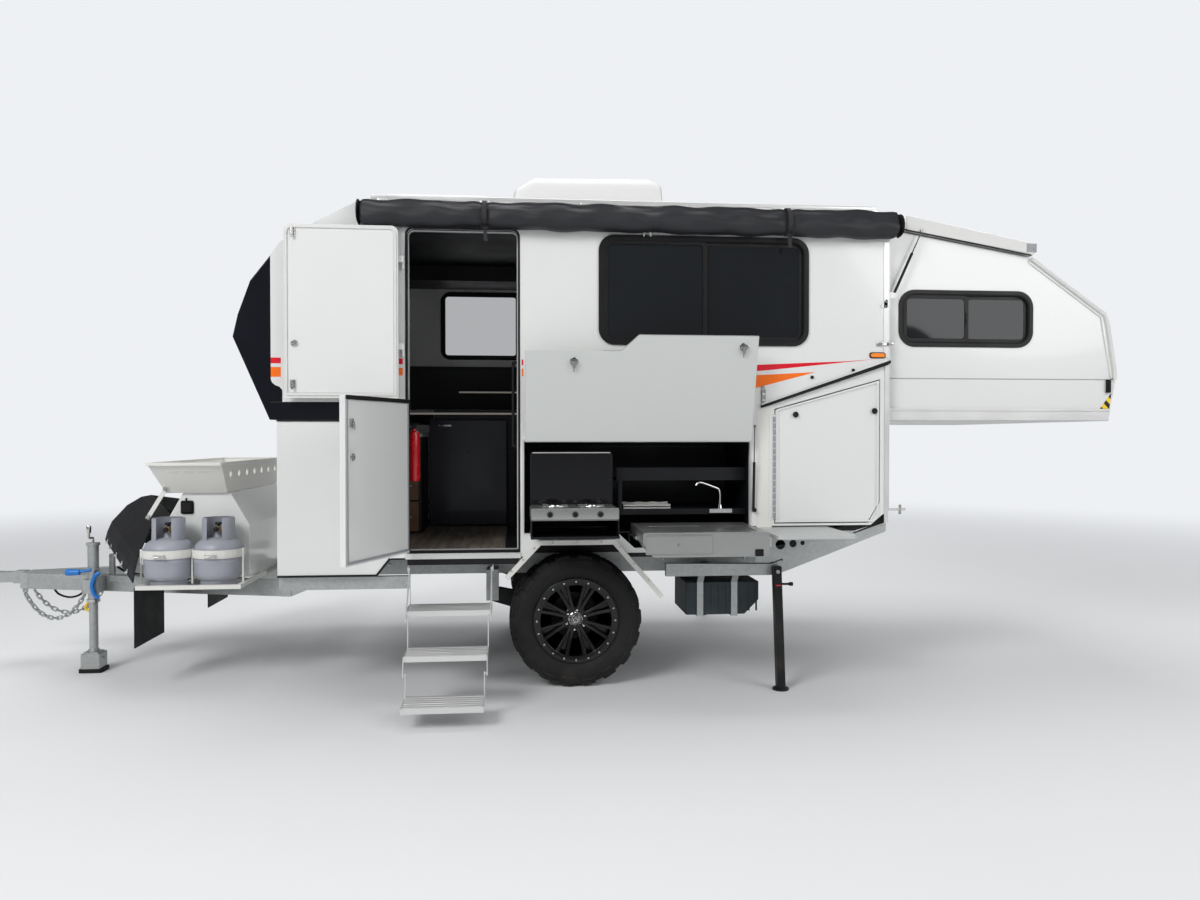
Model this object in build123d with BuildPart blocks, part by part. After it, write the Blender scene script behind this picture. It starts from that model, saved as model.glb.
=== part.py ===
from build123d import *
import math
import os

# Off-road camper trailer, all sizes in millimetres.
# Frame: origin in the coupling's pin socket, +X to the rear, +Y to the far side, +Z up.
# Sections are drawn as (distance behind the axle, height above the ground).

# Driving sizes: running gear and stance
HITCH_HEIGHT = 590.0
HITCH_TO_AXLE = 3950.0
TYRE_R = 415.0
TYRE_W = 285.0
TRACK_HALF = 905.0
RIM_R = 262.0
HUB_R = 78.0

# Driving sizes: body
HALF_W = 1100.0
WALL = 30.0
ROOF_Z = 2975.0
BODY_REAR = 1982.0
FLOOR_TOP = 866.0
FLOOR_T = 50.0
BELT_LOW = 1662.0
BELT_HIGH = 1769.0
NOSE_FRONT = -1818.0
LOW_FRONT = -1786.0
GAP = 6.0

# Entry door opening
DOOR_X0 = -1025.0
DOOR_X1 = -354.0
DOOR_TOP = 2814.0
DOOR_SPLIT = 1786.0
DOOR_T = 34.0
DOOR_HINGE_X = -1042.0
DOOR_HINGE_OUT = 22.0
LOW_DOOR_OPEN = 113.5

# Kitchen opening, with the deeper part behind the step
KIT_X0 = -324.0
KIT_X1 = 1081.0
KIT_TOP = 1537.0
KIT_LOW_L = 970.0
KIT_LOW_R = 874.0
KIT_STEP_A = 249.0
KIT_STEP_B = 354.0
KIT_DEPTH = 640.0
HATCH_OPEN = 165.0
HATCH_T = 28.0
HATCH_OUT = 20.0

# Clearances and small pins
SEAT = 0.3
PIN_FIT = 0.06
PIN_SIDES = 12

# Rear pod
POD_HALF = 1030.0
POD_WALL = 25.0
POD_FLOOR = 1740.0
POD_BASE = 1665.0
POD_IN = 1945.0
POD_TRAVEL = 1450.0


def side_plane(y):
    """Upright plane along the trailer: local axes are behind-axle and height; it faces the near side."""
    return Plane(origin=(HITCH_TO_AXLE, y, -HITCH_HEIGHT), x_dir=(1, 0, 0), z_dir=(0, -1, 0))


def level_plane(height):
    """Level plane: local axes are behind-axle and Y."""
    return Plane(origin=(HITCH_TO_AXLE, 0, height - HITCH_HEIGHT), x_dir=(1, 0, 0), z_dir=(0, 0, 1))


def cross_plane(behind):
    """Upright plane across the trailer: local axes are Y and height; it faces the rear."""
    return Plane(origin=(HITCH_TO_AXLE + behind, 0, -HITCH_HEIGHT), x_dir=(0, 1, 0), z_dir=(1, 0, 0))


def outline(points, mode=Mode.ADD):
    """Closed straight-sided face in the sketch at hand."""
    Polygon(*points, align=None, mode=mode)


def pane(x0, x1, z0, z1, radius, mode=Mode.ADD):
    """Rectangle with round corners between two corners."""
    with Locations(((x0 + x1) / 2, (z0 + z1) / 2)):
        RectangleRounded(x1 - x0, z1 - z0, radius, mode=mode)


def block(x0, x1, z0, z1, mode=Mode.ADD):
    """Plain rectangle between two corners."""
    with Locations(((x0 + x1) / 2, (z0 + z1) / 2)):
        Rectangle(x1 - x0, z1 - z0, mode=mode)


def strip(points, width, mode=Mode.ADD):
    """Band of even width along a broken line, with mitred corners and square ends."""
    spots = [Vector(*point) for point in points]
    runs = [(after - before).normalized() for before, after in zip(spots, spots[1:])]
    left = []
    right = []
    for spot, before, after in zip(spots, [runs[0]] + runs, runs + [runs[-1]]):
        along = (before + after).normalized()
        across = Vector(-along.Y, along.X) * (width / 2 / along.dot(after))
        left.append((spot.X + across.X, spot.Y + across.Y))
        right.append((spot.X - across.X, spot.Y - across.Y))
    outline(left + right[::-1], mode=mode)


def pin_face(radius):
    """Pin's cross-section, twelve-sided to keep small pins light."""
    RegularPolygon(radius, PIN_SIDES)


def pin_hole(radius):
    """Hole that a pin of that radius turns in."""
    RegularPolygon(radius + PIN_FIT, PIN_SIDES, major_radius=False, mode=Mode.SUBTRACT)


def save(piece, name):
    piece.part.label = name
    export_step(piece.part, f"parts/{name}.step")


os.makedirs("parts", exist_ok=True)

# Wheels: the tyre is a turned carcass with side lugs, the rim a deep ring with split spokes
LUG_COUNT = 16
LUG_RISE = 13.0
LUG_ROOT = 350.0
LUG_LONG = 68.0
LUG_WIDE = 92.0
BEAD_W = 214.0
WHEEL_SIDES = 40
HUB_SIDES = 20
SPOKES = 8
SPOKE_OUT = 60.0
SPOKE_SPLIT = 14.0
SPOKE_LEAN = 7.0

for side, hand in ((-1, "near"), (1, "far")):
    wheel_centre = (HITCH_TO_AXLE, side * TRACK_HALF, TYRE_R - HITCH_HEIGHT)
    face_plane = Plane(origin=wheel_centre, x_dir=(1, 0, 0), z_dir=(0, side, 0))
    profile_plane = Plane(origin=wheel_centre, x_dir=(1, 0, 0), z_dir=(0, 0, side))
    wheel_axis = Axis(wheel_centre, (0, side, 0))
    body_r = TYRE_R - LUG_RISE
    with BuildPart() as tyre:
        for stand_off, radius in (
            (-TYRE_W / 2 + 4, RIM_R + 62),
            (-TYRE_W / 2 + 26, body_r - 12),
            (-TYRE_W / 2 + 56, body_r),
            (TYRE_W / 2 - 56, body_r),
            (TYRE_W / 2 - 26, body_r - 12),
            (TYRE_W / 2 - 4, RIM_R + 62),
        ):
            with BuildSketch(face_plane.offset(stand_off)):
                RegularPolygon(radius, WHEEL_SIDES)
        loft(ruled=True)
        for end in (-1, 1):
            with BuildSketch(face_plane.offset(end * (TYRE_W / 2 - 4))):
                RegularPolygon(RIM_R + 50, WHEEL_SIDES, major_radius=False)
            with BuildSketch(face_plane.offset(end * (BEAD_W / 2 - 4))):
                RegularPolygon(RIM_R, WHEEL_SIDES, major_radius=False)
            loft(ruled=True, mode=Mode.SUBTRACT)
        with BuildSketch(face_plane):
            RegularPolygon(RIM_R, WHEEL_SIDES, major_radius=False)
        extrude(amount=BEAD_W, both=True, mode=Mode.SUBTRACT)
        for shoulder, turn in ((TYRE_W / 2 - LUG_WIDE, 0), (-TYRE_W / 2 + 8, 180 / LUG_COUNT)):
            with BuildSketch(face_plane.offset(shoulder)):
                with PolarLocations((TYRE_R + LUG_ROOT) / 2, LUG_COUNT, start_angle=turn):
                    Rectangle(TYRE_R - LUG_ROOT, LUG_LONG)
            extrude(amount=LUG_WIDE - 8)
    save(tyre, f"tyre_{hand}")

    with BuildPart() as rim:
        with BuildSketch(face_plane):
            RegularPolygon(RIM_R, WHEEL_SIDES, major_radius=False)
            RegularPolygon(RIM_R - 24, WHEEL_SIDES, major_radius=False, mode=Mode.SUBTRACT)
        extrude(amount=BEAD_W / 2, both=True)
        with BuildSketch(face_plane.offset(BEAD_W / 2)):
            RegularPolygon(RIM_R + 4, WHEEL_SIDES, major_radius=False)
            RegularPolygon(RIM_R - 40, WHEEL_SIDES, major_radius=False, mode=Mode.SUBTRACT)
        extrude(amount=12)
        with BuildSketch(face_plane.offset(SPOKE_OUT)):
            RegularPolygon(HUB_R, HUB_SIDES)
            with PolarLocations(0, SPOKES):
                for lean in (-1, 1):
                    with Locations(Location((HUB_R - 12, lean * SPOKE_SPLIT, 0), (0, 0, lean * SPOKE_LEAN))):
                        Rectangle(RIM_R - HUB_R - 2, 20, align=(Align.MIN, Align.CENTER))
        extrude(amount=-30)
        with BuildSketch(face_plane.offset(SPOKE_OUT)):
            RegularPolygon(42, HUB_SIDES)
        extrude(amount=34, taper=8)
        with BuildSketch(face_plane.offset(SPOKE_OUT)):
            with PolarLocations(70, 6):
                RegularPolygon(11, 6)
        extrude(amount=22)
    save(rim, f"rim_{hand}")

# Trailing arms with their hubs and drums, and the air bags
RAIL_Y = 560.0
RAIL_W = 50.0
RAIL_TOP = 785.0
RAIL_LOW = 655.0
ARM_HALF = 45.0
ARM_OUT = 250.0
ARM_PIVOT = (-525.0, 530.0)
ARM_PIN_R = 18.0
HUB_FACE = 29.7
DRUM_W = 100.0
BAG_X = 20.0
BAG_LOW = 490.0
BAG_HIGH = 716.0
BAG_R = 62.0

with BuildPart() as arms:
    for side in (-1, 1):
        with BuildSketch(side_plane(side * (TRACK_HALF + HUB_FACE))):
            with Locations((0, TYRE_R)):
                RegularPolygon(HUB_R - 14, HUB_SIDES)
        extrude(amount=side * (HUB_FACE + 70))
        with BuildSketch(side_plane(side * (TRACK_HALF - 70))):
            with Locations((0, TYRE_R)):
                RegularPolygon(150, 24)
        extrude(amount=side * DRUM_W)
        with BuildSketch(side_plane(side * (TRACK_HALF - 70 - DRUM_W))):
            with Locations((0, TYRE_R)):
                RegularPolygon(60, 16)
        extrude(amount=side * (ARM_OUT - ARM_HALF - 65 - DRUM_W))
        with BuildSketch(side_plane(side * (TRACK_HALF - ARM_OUT))):
            block(BAG_X - 60, BAG_X + 60, TYRE_R + 40, BAG_LOW)
            outline(
                (
                    (-560, 560),
                    (-480, 570),
                    (-60, TYRE_R + 70),
                    (90, TYRE_R + 50),
                    (90, TYRE_R - 60),
                    (-70, TYRE_R - 70),
                    (-560, 500),
                )
            )
            with Locations(ARM_PIVOT):
                Circle(ARM_PIN_R + 0.3, mode=Mode.SUBTRACT)
        extrude(amount=ARM_HALF, both=True)
save(arms, "trailing_arms")

bag_waist = (BAG_LOW + BAG_HIGH) / 2
with BuildPart() as bags:
    for side in (-1, 1):
        for level, radius in (
            (BAG_LOW + SEAT, BAG_R - 14),
            (bag_waist - 40, BAG_R),
            (bag_waist, BAG_R - 16),
            (bag_waist + 40, BAG_R),
            (BAG_HIGH - SEAT, BAG_R - 14),
        ):
            with BuildSketch(level_plane(level)):
                with Locations((BAG_X, side * (TRACK_HALF - ARM_OUT))):
                    RegularPolygon(radius, HUB_SIDES)
        loft(ruled=True)
save(bags, "air_bags")

# Rear stabiliser legs: a splayed square tube on a pin through the side rail
LEG_X = 1254.0
LEG_TOP = 715.0
LEG_Y0 = 1097.0
LEG_Y1 = 1190.0
LEG_HALF = 25.0
LEG_PIN_R = 12.0
FOOT_T = 12.0


def leg_pivot_plane(side):
    """Plane square to the leg's pivot pin, at the pin's middle."""
    return Plane(
        origin=(HITCH_TO_AXLE + LEG_X, side * LEG_Y0, LEG_TOP - HITCH_HEIGHT),
        x_dir=(1, 0, 0),
        z_dir=(0, LEG_TOP, side * (LEG_Y1 - LEG_Y0)),
    )


# Water tank hung in straps between the side rail and the main rail
TANK_X0 = 699.0
TANK_X1 = 1171.0
TANK_LOW = 430.0
TANK_TOP = 640.0
TANK_OUT = 985.0
TANK_IN = 580.0
TANK_STRAPS = (790.0, 1010.0)
WALL_KICK = 1004.0

# Chassis: two main rails, cross members, the side rails with their rear up-sweep, and the drawbar
CROSS_X = (-1700, -1150, -560, 330, 900, 1250)
SWEEP_X0 = 1260.0
SWEEP_Z0 = 745.0
SWEEP_Z1 = 1012.0
SIDE_RAIL_Y = 1040.0
SIDE_RAIL_W = 50.0
GUSSET_HOLES = ((1285, 883, 32), (1366, 888, 24), (1428, 891, 15))

with BuildPart() as frame_rails:
    for side in (-1, 1):
        with BuildSketch(side_plane(side * RAIL_Y)):
            outline(
                (
                    (-1754, RAIL_LOW),
                    (1250, RAIL_LOW),
                    (1960, 920),
                    (1960, 985),
                    (1250, RAIL_TOP),
                    (-1754, RAIL_TOP),
                )
            )
        extrude(amount=RAIL_W / 2, both=True)
        for points in (
            ((-1786, 640), (-1020, 640), (-1020, 715), (-1786, 715)),
            (
                (560, 690),
                (SWEEP_X0, 690),
                (1975, 958),
                (1975, SWEEP_Z1 + 6),
                (1228, SWEEP_Z0 + 15),
                (560, 770),
            ),
        ):
            with BuildSketch(side_plane(side * SIDE_RAIL_Y)):
                outline(points)
            extrude(amount=SIDE_RAIL_W / 2, both=True)
        with BuildSketch(leg_pivot_plane(side)):
            pin_face(LEG_PIN_R)
        extrude(amount=34, both=True)
        with BuildSketch(side_plane(side * (HALF_W - WALL + SEAT))):
            outline(((1125, 775), (1240, 775), (1790, 966), (1125, 966)))
            for hole_x, hole_z, hole_r in GUSSET_HOLES:
                with Locations((hole_x, hole_z)):
                    RegularPolygon(hole_r, PIN_SIDES, mode=Mode.SUBTRACT)
        extrude(amount=-side * 6)
        with BuildSketch(side_plane(side * (HALF_W - WALL + 6))):
            strip(((1300, 788), (1760, 947)), 24)
        extrude(amount=side * 14)
        with BuildSketch(level_plane(BAG_HIGH)):
            block(BAG_X - 70, BAG_X + 70, *sorted((side * RAIL_Y, side * (TRACK_HALF - ARM_OUT + BAG_R + 8))))
        extrude(amount=10)
        hanger_in = TRACK_HALF - ARM_OUT - ARM_HALF - SEAT
        hanger_out = TRACK_HALF - ARM_OUT + ARM_HALF + SEAT
        with BuildSketch(cross_plane(ARM_PIVOT[0])):
            for cheek in (hanger_in - 8, hanger_out):
                block(*sorted((side * cheek, side * (cheek + 8))), ARM_PIVOT[1] - 36, RAIL_LOW + 40)
            block(*sorted((side * RAIL_Y, side * (hanger_out + 8))), RAIL_LOW + 30, RAIL_LOW + 40)
        extrude(amount=40, both=True)
        with BuildSketch(side_plane(side * (hanger_out + 8))):
            with Locations(ARM_PIVOT):
                Circle(ARM_PIN_R)
        extrude(amount=side * (hanger_out - hanger_in + 16))
    for strap_x in TANK_STRAPS:
        with BuildSketch(cross_plane(strap_x)):
            strip(
                (
                    (-SIDE_RAIL_Y, 700),
                    (-TANK_OUT - 4, 640),
                    (-TANK_OUT - 4, TANK_LOW - 4),
                    (-TANK_IN + 4, TANK_LOW - 4),
                    (-TANK_IN + 4, RAIL_LOW + 10),
                ),
                8 - 2 * SEAT,
            )
        extrude(amount=20, both=True)
    for behind in CROSS_X:
        reach = SIDE_RAIL_Y - SIDE_RAIL_W / 2
        if behind in (-1150, -560, 330):
            reach = RAIL_Y - RAIL_W / 2
        with BuildSketch(cross_plane(behind)):
            with Locations((0, 700)):
                Rectangle(2 * (RAIL_Y - RAIL_W / 2), 60)
            if behind in (-1700, 900):
                for side in (-1, 1):
                    with Locations((side * (RAIL_Y + reach + RAIL_W / 2) / 2, 700)):
                        Rectangle(reach - RAIL_Y - RAIL_W / 2, 30)
        extrude(amount=25, both=True)
save(frame_rails, "chassis_frame")

DRAW_TOP = 625.0
DRAW_LOW = 520.0
DRAW_TIP = -3760.0
DRAW_BACK = -1830.0
CHAIN_BACK = -3312.0
CHAIN_FRONT = -3740.0
CHAIN_Y = 150.0
CHAIN_TIP_Y = 62.0
CHAIN_LINKS = 17
CHAIN_CURVE = 160.0
LINK_LONG = 50.0
LINK_WIDE = 30.0
LINK_BAR = 8.0
CHAIN_DROP = 39.2
POST_X = -3105.0
POST_Y = 205.0
POST_TOP = 766.0

with BuildPart() as drawbar:
    with BuildSketch(level_plane(DRAW_LOW)):
        for side in (-1, 1):
            outline(
                (
                    (DRAW_TIP, side * 30),
                    (DRAW_TIP + 60, side * 105),
                    (DRAW_BACK, side * (RAIL_Y + 30)),
                    (DRAW_BACK, side * (RAIL_Y - 40)),
                    (DRAW_TIP + 130, side * 30),
                )
            )
        block(DRAW_TIP, DRAW_TIP + 330, -90, 90)
        block(-2120, -2060, -500, 500)
        block(-2720, -2660, -330, 330)
    extrude(amount=DRAW_TOP - DRAW_LOW)
    with BuildSketch(level_plane(DRAW_LOW)):
        for side in (-1, 1):
            for lug_x, lug_y in ((CHAIN_BACK, CHAIN_Y), (CHAIN_FRONT, CHAIN_TIP_Y)):
                with Locations((lug_x, side * lug_y)):
                    Rectangle(34, 10)
    extrude(amount=-30)
    with BuildSketch(level_plane(DRAW_TOP)):
        for side in (-1, 1):
            with Locations((POST_X, side * POST_Y)):
                Rectangle(30, 30)
    extrude(amount=POST_TOP - DRAW_TOP)
    for side in (-1, 1):
        with BuildSketch(side_plane(side * RAIL_Y)):
            outline(((DRAW_BACK - 60, DRAW_LOW), (DRAW_BACK, DRAW_LOW), (-1500, RAIL_LOW), (DRAW_BACK - 60, RAIL_LOW)))
        extrude(amount=RAIL_W / 2, both=True)
save(drawbar, "drawbar")

# Safety chains: links along a hanging curve, each turned a quarter from the last
half_span = (CHAIN_BACK - CHAIN_FRONT) / 2
half_arc = CHAIN_CURVE * math.sinh(half_span / CHAIN_CURVE)
with BuildPart() as chains:
    for side in (-1, 1):
        for order in range(CHAIN_LINKS):
            arc = half_arc * ((2 * order + 1) / CHAIN_LINKS - 1)
            along = CHAIN_CURVE * math.asinh(arc / CHAIN_CURVE)
            lift = CHAIN_CURVE * (math.cosh(along / CHAIN_CURVE) - math.cosh(half_span / CHAIN_CURVE))
            spread = (CHAIN_Y - CHAIN_TIP_Y) / (2 * half_span)
            middle = (
                HITCH_TO_AXLE + CHAIN_FRONT + half_span + along,
                side * (CHAIN_TIP_Y + (along + half_span) * spread),
                DRAW_LOW - CHAIN_DROP + lift - HITCH_HEIGHT,
            )
            tangent = Vector(1, side * spread, math.sinh(along / CHAIN_CURVE)).normalized()
            level = tangent.cross(Vector(0, 0, 1)).normalized()
            facing = level if order % 2 else tangent.cross(level)
            with BuildSketch(Plane(origin=middle, x_dir=tangent, z_dir=facing)):
                half_long = LINK_LONG / 2
                half_wide = LINK_WIDE / 2
                for trim, mode in ((0, Mode.ADD), (LINK_BAR, Mode.SUBTRACT)):
                    reach = half_long - trim
                    width = half_wide - trim
                    cut = width * 0.6
                    outline(
                        (
                            (reach, width - cut),
                            (reach - cut, width),
                            (cut - reach, width),
                            (-reach, width - cut),
                            (-reach, cut - width),
                            (cut - reach, -width),
                            (reach - cut, -width),
                            (reach, cut - width),
                        ),
                        mode=mode,
                    )
            extrude(amount=LINK_BAR / 2, both=True)
save(chains, "safety_chains")

# Coupling head with its upright pin socket
PIN_R = 17.75
PIN_LONG = 70.0
with BuildPart() as coupling:
    with BuildSketch(Plane.XY.offset(-PIN_LONG / 2)):
        Circle(48)
        with Locations((60, 0)):
            Rectangle(120, 70)
    extrude(amount=PIN_LONG)
    with BuildSketch(Plane.XY.offset(-PIN_LONG / 2)):
        Circle(PIN_R)
    extrude(amount=PIN_LONG, mode=Mode.SUBTRACT)
    with BuildSketch(Plane.YZ.offset(120)):
        Rectangle(84, 84)
    extrude(amount=HITCH_TO_AXLE + DRAW_TIP - 120)
save(coupling, "coupling_head")

# Jack on the near side of the drawbar; its leg slides in the tube
JACK_X = -3173.0
JACK_Y = -330.0
JACK_TUBE = 34.0
JACK_LEG = 27.0
with BuildPart() as jack:
    with BuildSketch(level_plane(470)):
        with Locations((JACK_X, JACK_Y)):
            RegularPolygon(JACK_TUBE, HUB_SIDES)
            RegularPolygon(JACK_LEG + SEAT, HUB_SIDES, major_radius=False, mode=Mode.SUBTRACT)
    extrude(amount=370)
    with BuildSketch(level_plane(840)):
        with Locations((JACK_X, JACK_Y)):
            RegularPolygon(42, HUB_SIDES)
    extrude(amount=17)
    with BuildSketch(level_plane(DRAW_LOW + 5)):
        outline(
            (
                (JACK_X - 45, JACK_Y + 29),
                (JACK_X + 45, JACK_Y + 29),
                (JACK_X + 45, -253.7),
                (JACK_X - 45, -230.3),
            )
        )
    extrude(amount=90)
    with BuildSketch(level_plane(DRAW_LOW + 5)):
        with Locations((JACK_X, JACK_Y)):
            Rectangle(2 * JACK_TUBE + 22, 2 * JACK_TUBE + 22)
            RegularPolygon(JACK_TUBE - 2, HUB_SIDES, mode=Mode.SUBTRACT)
    extrude(amount=90)
save(jack, "jack_body")

with BuildPart() as jack_leg:
    with BuildSketch(level_plane(70)):
        with Locations((JACK_X, JACK_Y)):
            RegularPolygon(JACK_LEG, HUB_SIDES)
    extrude(amount=490)
    with BuildSketch(level_plane(0)):
        with Locations((JACK_X, JACK_Y)):
            RectangleRounded(150, 130, 20)
    extrude(amount=24)
    with BuildSketch(level_plane(24)):
        with Locations((JACK_X, JACK_Y)):
            Rectangle(90, 80)
    extrude(amount=96, taper=14)
save(jack_leg, "jack_leg")

# Gas rack with its bottles, mudflaps
RACK_Z = 650.0
RACK_T = 25.0
SLAT_T = 7.0
STRAP_Z = 820.0
RACK_X0 = -2683.0
RACK_X1 = -2060.0
RACK_Y = 890.0
BOTTLE_R = 145.0
BOTTLE_SIDES = 24
BOTTLE_Y = 742.0
BOTTLE_X = (-2537.0, -2235.0)
BOX_HALF = 580.0

with BuildPart() as rack:
    for side in (-1, 1):
        with BuildSketch(level_plane(RACK_Z - RACK_T)):
            with Locations(((RACK_X0 + RACK_X1) / 2, side * (RACK_Y + 300) / 2)):
                Rectangle(RACK_X1 - RACK_X0, RACK_Y - 300)
                Rectangle(RACK_X1 - RACK_X0 - 60, RACK_Y - 360, mode=Mode.SUBTRACT)
        extrude(amount=RACK_T)
        with BuildSketch(level_plane(RACK_Z - RACK_T)):
            for bottle_x in BOTTLE_X:
                block(bottle_x - 60, bottle_x + 60, *sorted((side * 320, side * (RACK_Y - 20))))
        extrude(amount=SLAT_T)
        for bottle_x in BOTTLE_X:
            with BuildSketch(level_plane(STRAP_Z)):
                with Locations((bottle_x, side * BOTTLE_Y)):
                    RegularPolygon(BOTTLE_R + 9, 24, major_radius=False)
                    RegularPolygon(BOTTLE_R + 4, 24, major_radius=False, mode=Mode.SUBTRACT)
            extrude(amount=42)
        with BuildSketch(level_plane(RACK_Z - 5)):
            for hoop_x in (BOTTLE_X[0] - 156, (BOTTLE_X[0] + BOTTLE_X[1]) / 2, BOTTLE_X[1] + 156):
                with Locations((hoop_x, side * (BOTTLE_Y + 30))):
                    Rectangle(10, 10)
        extrude(amount=STRAP_Z - RACK_Z + 46)
save(rack, "gas_rack")

with BuildPart() as bottles:
    for side in (-1, 1):
        for bottle_x in BOTTLE_X:
            for rise, radius in ((SEAT, 108), (28, 112), (66, BOTTLE_R), (300, BOTTLE_R), (350, 112), (372, 30), (410, 30)):
                with BuildSketch(level_plane(RACK_Z - RACK_T + SLAT_T + rise)):
                    with Locations((bottle_x, side * BOTTLE_Y)):
                        RegularPolygon(radius, BOTTLE_SIDES)
            loft(ruled=True)
            with BuildSketch(level_plane(RACK_Z + 325)):
                with Locations((bottle_x, side * BOTTLE_Y)):
                    RegularPolygon(98, 20)
                    RegularPolygon(90, 20, mode=Mode.SUBTRACT)
                    with Locations((0, side * 90)):
                        Rectangle(70, 60, mode=Mode.SUBTRACT)
            extrude(amount=89)
save(bottles, "gas_bottles")

with BuildPart() as flaps:
    for side in (-1, 1):
        with BuildSketch(cross_plane(RACK_X0 - SEAT)):
            block(*sorted((side * 430, side * RACK_Y)), 270, RACK_Z - 10)
        extrude(amount=-8)
save(flaps, "mudflaps")

# Front box, its tray and the stone guard
with BuildPart() as front_box:
    with BuildSketch(side_plane(0)):
        outline(
            (
                (-2508, 1200),
                (-2211, 1200),
                (-2093, 990),
                (-2093, RACK_Z + SEAT),
                (-2626, RACK_Z + SEAT),
                (-2626, 990),
            )
        )
    extrude(amount=BOX_HALF, both=True)
save(front_box, "front_box")

TRAY_Z0 = 1200.0 + SEAT
TRAY_Z1 = 1397.0
TRAY_WALL = 8.0
tray_foot = (-2604.0, -2225.0, -600.0, 600.0)
tray_rim = (-2672.0, -2219.0, -740.0, 740.0)
with BuildPart() as tray:
    with BuildSketch(level_plane(TRAY_Z0)):
        block(*tray_foot)
    with BuildSketch(level_plane(TRAY_Z1)):
        block(*tray_rim)
    loft(ruled=True)
    with BuildSketch(level_plane(TRAY_Z0 + TRAY_WALL)):
        block(-2604 + TRAY_WALL, -2225 - TRAY_WALL, -600 + TRAY_WALL, 600 - TRAY_WALL)
    with BuildSketch(level_plane(TRAY_Z1 + 1)):
        block(-2672 + TRAY_WALL, -2219 - TRAY_WALL, -740 + TRAY_WALL, 740 - TRAY_WALL)
    loft(ruled=True, mode=Mode.SUBTRACT)
    with BuildSketch(cross_plane(-2290)):
        with Locations((0, TRAY_Z0 + 120)):
            with GridLocations(180, 1, 7, 1):
                RegularPolygon(24, 12)
    extrude(amount=120, mode=Mode.SUBTRACT)
    for side in (-1, 1):
        with BuildSketch(side_plane(side * 626)):
            strip(((-2590, TRAY_Z0 + 42), (-2713, 1036)), 26)
        extrude(amount=side * 6)
save(tray, "box_tray")

# Stone guard: a bow-shaped sheet on a lower bar, from the ridge to the rack's front corners
ridge_line = ((-3241, 840), (-3225, 898), (-3194, 969), (-3091, 1082), (-2995, 1140), (-2926, 1153))
GUARD_T = 10.0
GUARD_SWEEP = Vector(529, 860, -172)
guard_trim = ((-2626 - SEAT, 500), (-2626 - SEAT, 990), (-2508, 1200), (-2508, 1400), (-2000, 1400), (-2000, 500))
with BuildPart() as guard:
    for side in (-1, 1):
        with BuildSketch(side_plane(0)):
            outline(ridge_line + tuple((behind + GUARD_T, height - 5) for behind, height in ridge_line[::-1]))
        extrude(amount=GUARD_SWEEP.length, dir=(GUARD_SWEEP.X, side * GUARD_SWEEP.Y, GUARD_SWEEP.Z))
    with BuildSketch(side_plane(0)):
        outline(guard_trim)
    extrude(amount=1000, both=True, mode=Mode.SUBTRACT)
    for side in (-1, 1):
        with BuildSketch(level_plane(500)):
            block(-2706, -2400, *sorted((side * (BOX_HALF - 60), side * 1000)))
        extrude(amount=800, mode=Mode.SUBTRACT)
save(guard, "stone_guard")

with BuildPart() as tank:
    with BuildSketch(side_plane(-TANK_IN)):
        outline(
            (
                (TANK_X0, TANK_LOW),
                (TANK_X1 - 90, TANK_LOW),
                (TANK_X1, TANK_LOW + 90),
                (TANK_X1, TANK_TOP),
                (TANK_X0, TANK_TOP),
            )
        )
    extrude(amount=TANK_OUT - TANK_IN)
save(tank, "water_tank")

# Driving sizes: flip-fold steps
STEP_X = -765.0
STEP_HALF = 248.0
STEP_T = 30.0
PIVOT_FWD = 18.0
STEP_DEEP = 235.0
STEP_RUN = 250.0
STEP_TOP = 545.0
STEP_RISE = 205.0
STEP_LAST = 215.0
STEP_OUT = 200.0
SILL_LOW = 786.0
HANG_Z = 762.0
HANG_OUT = 6.0
DROP_A = 45.0
DROP_B = 95.0
PLATE_T = 6.0
STEP_PIN_R = 6.0

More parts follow.
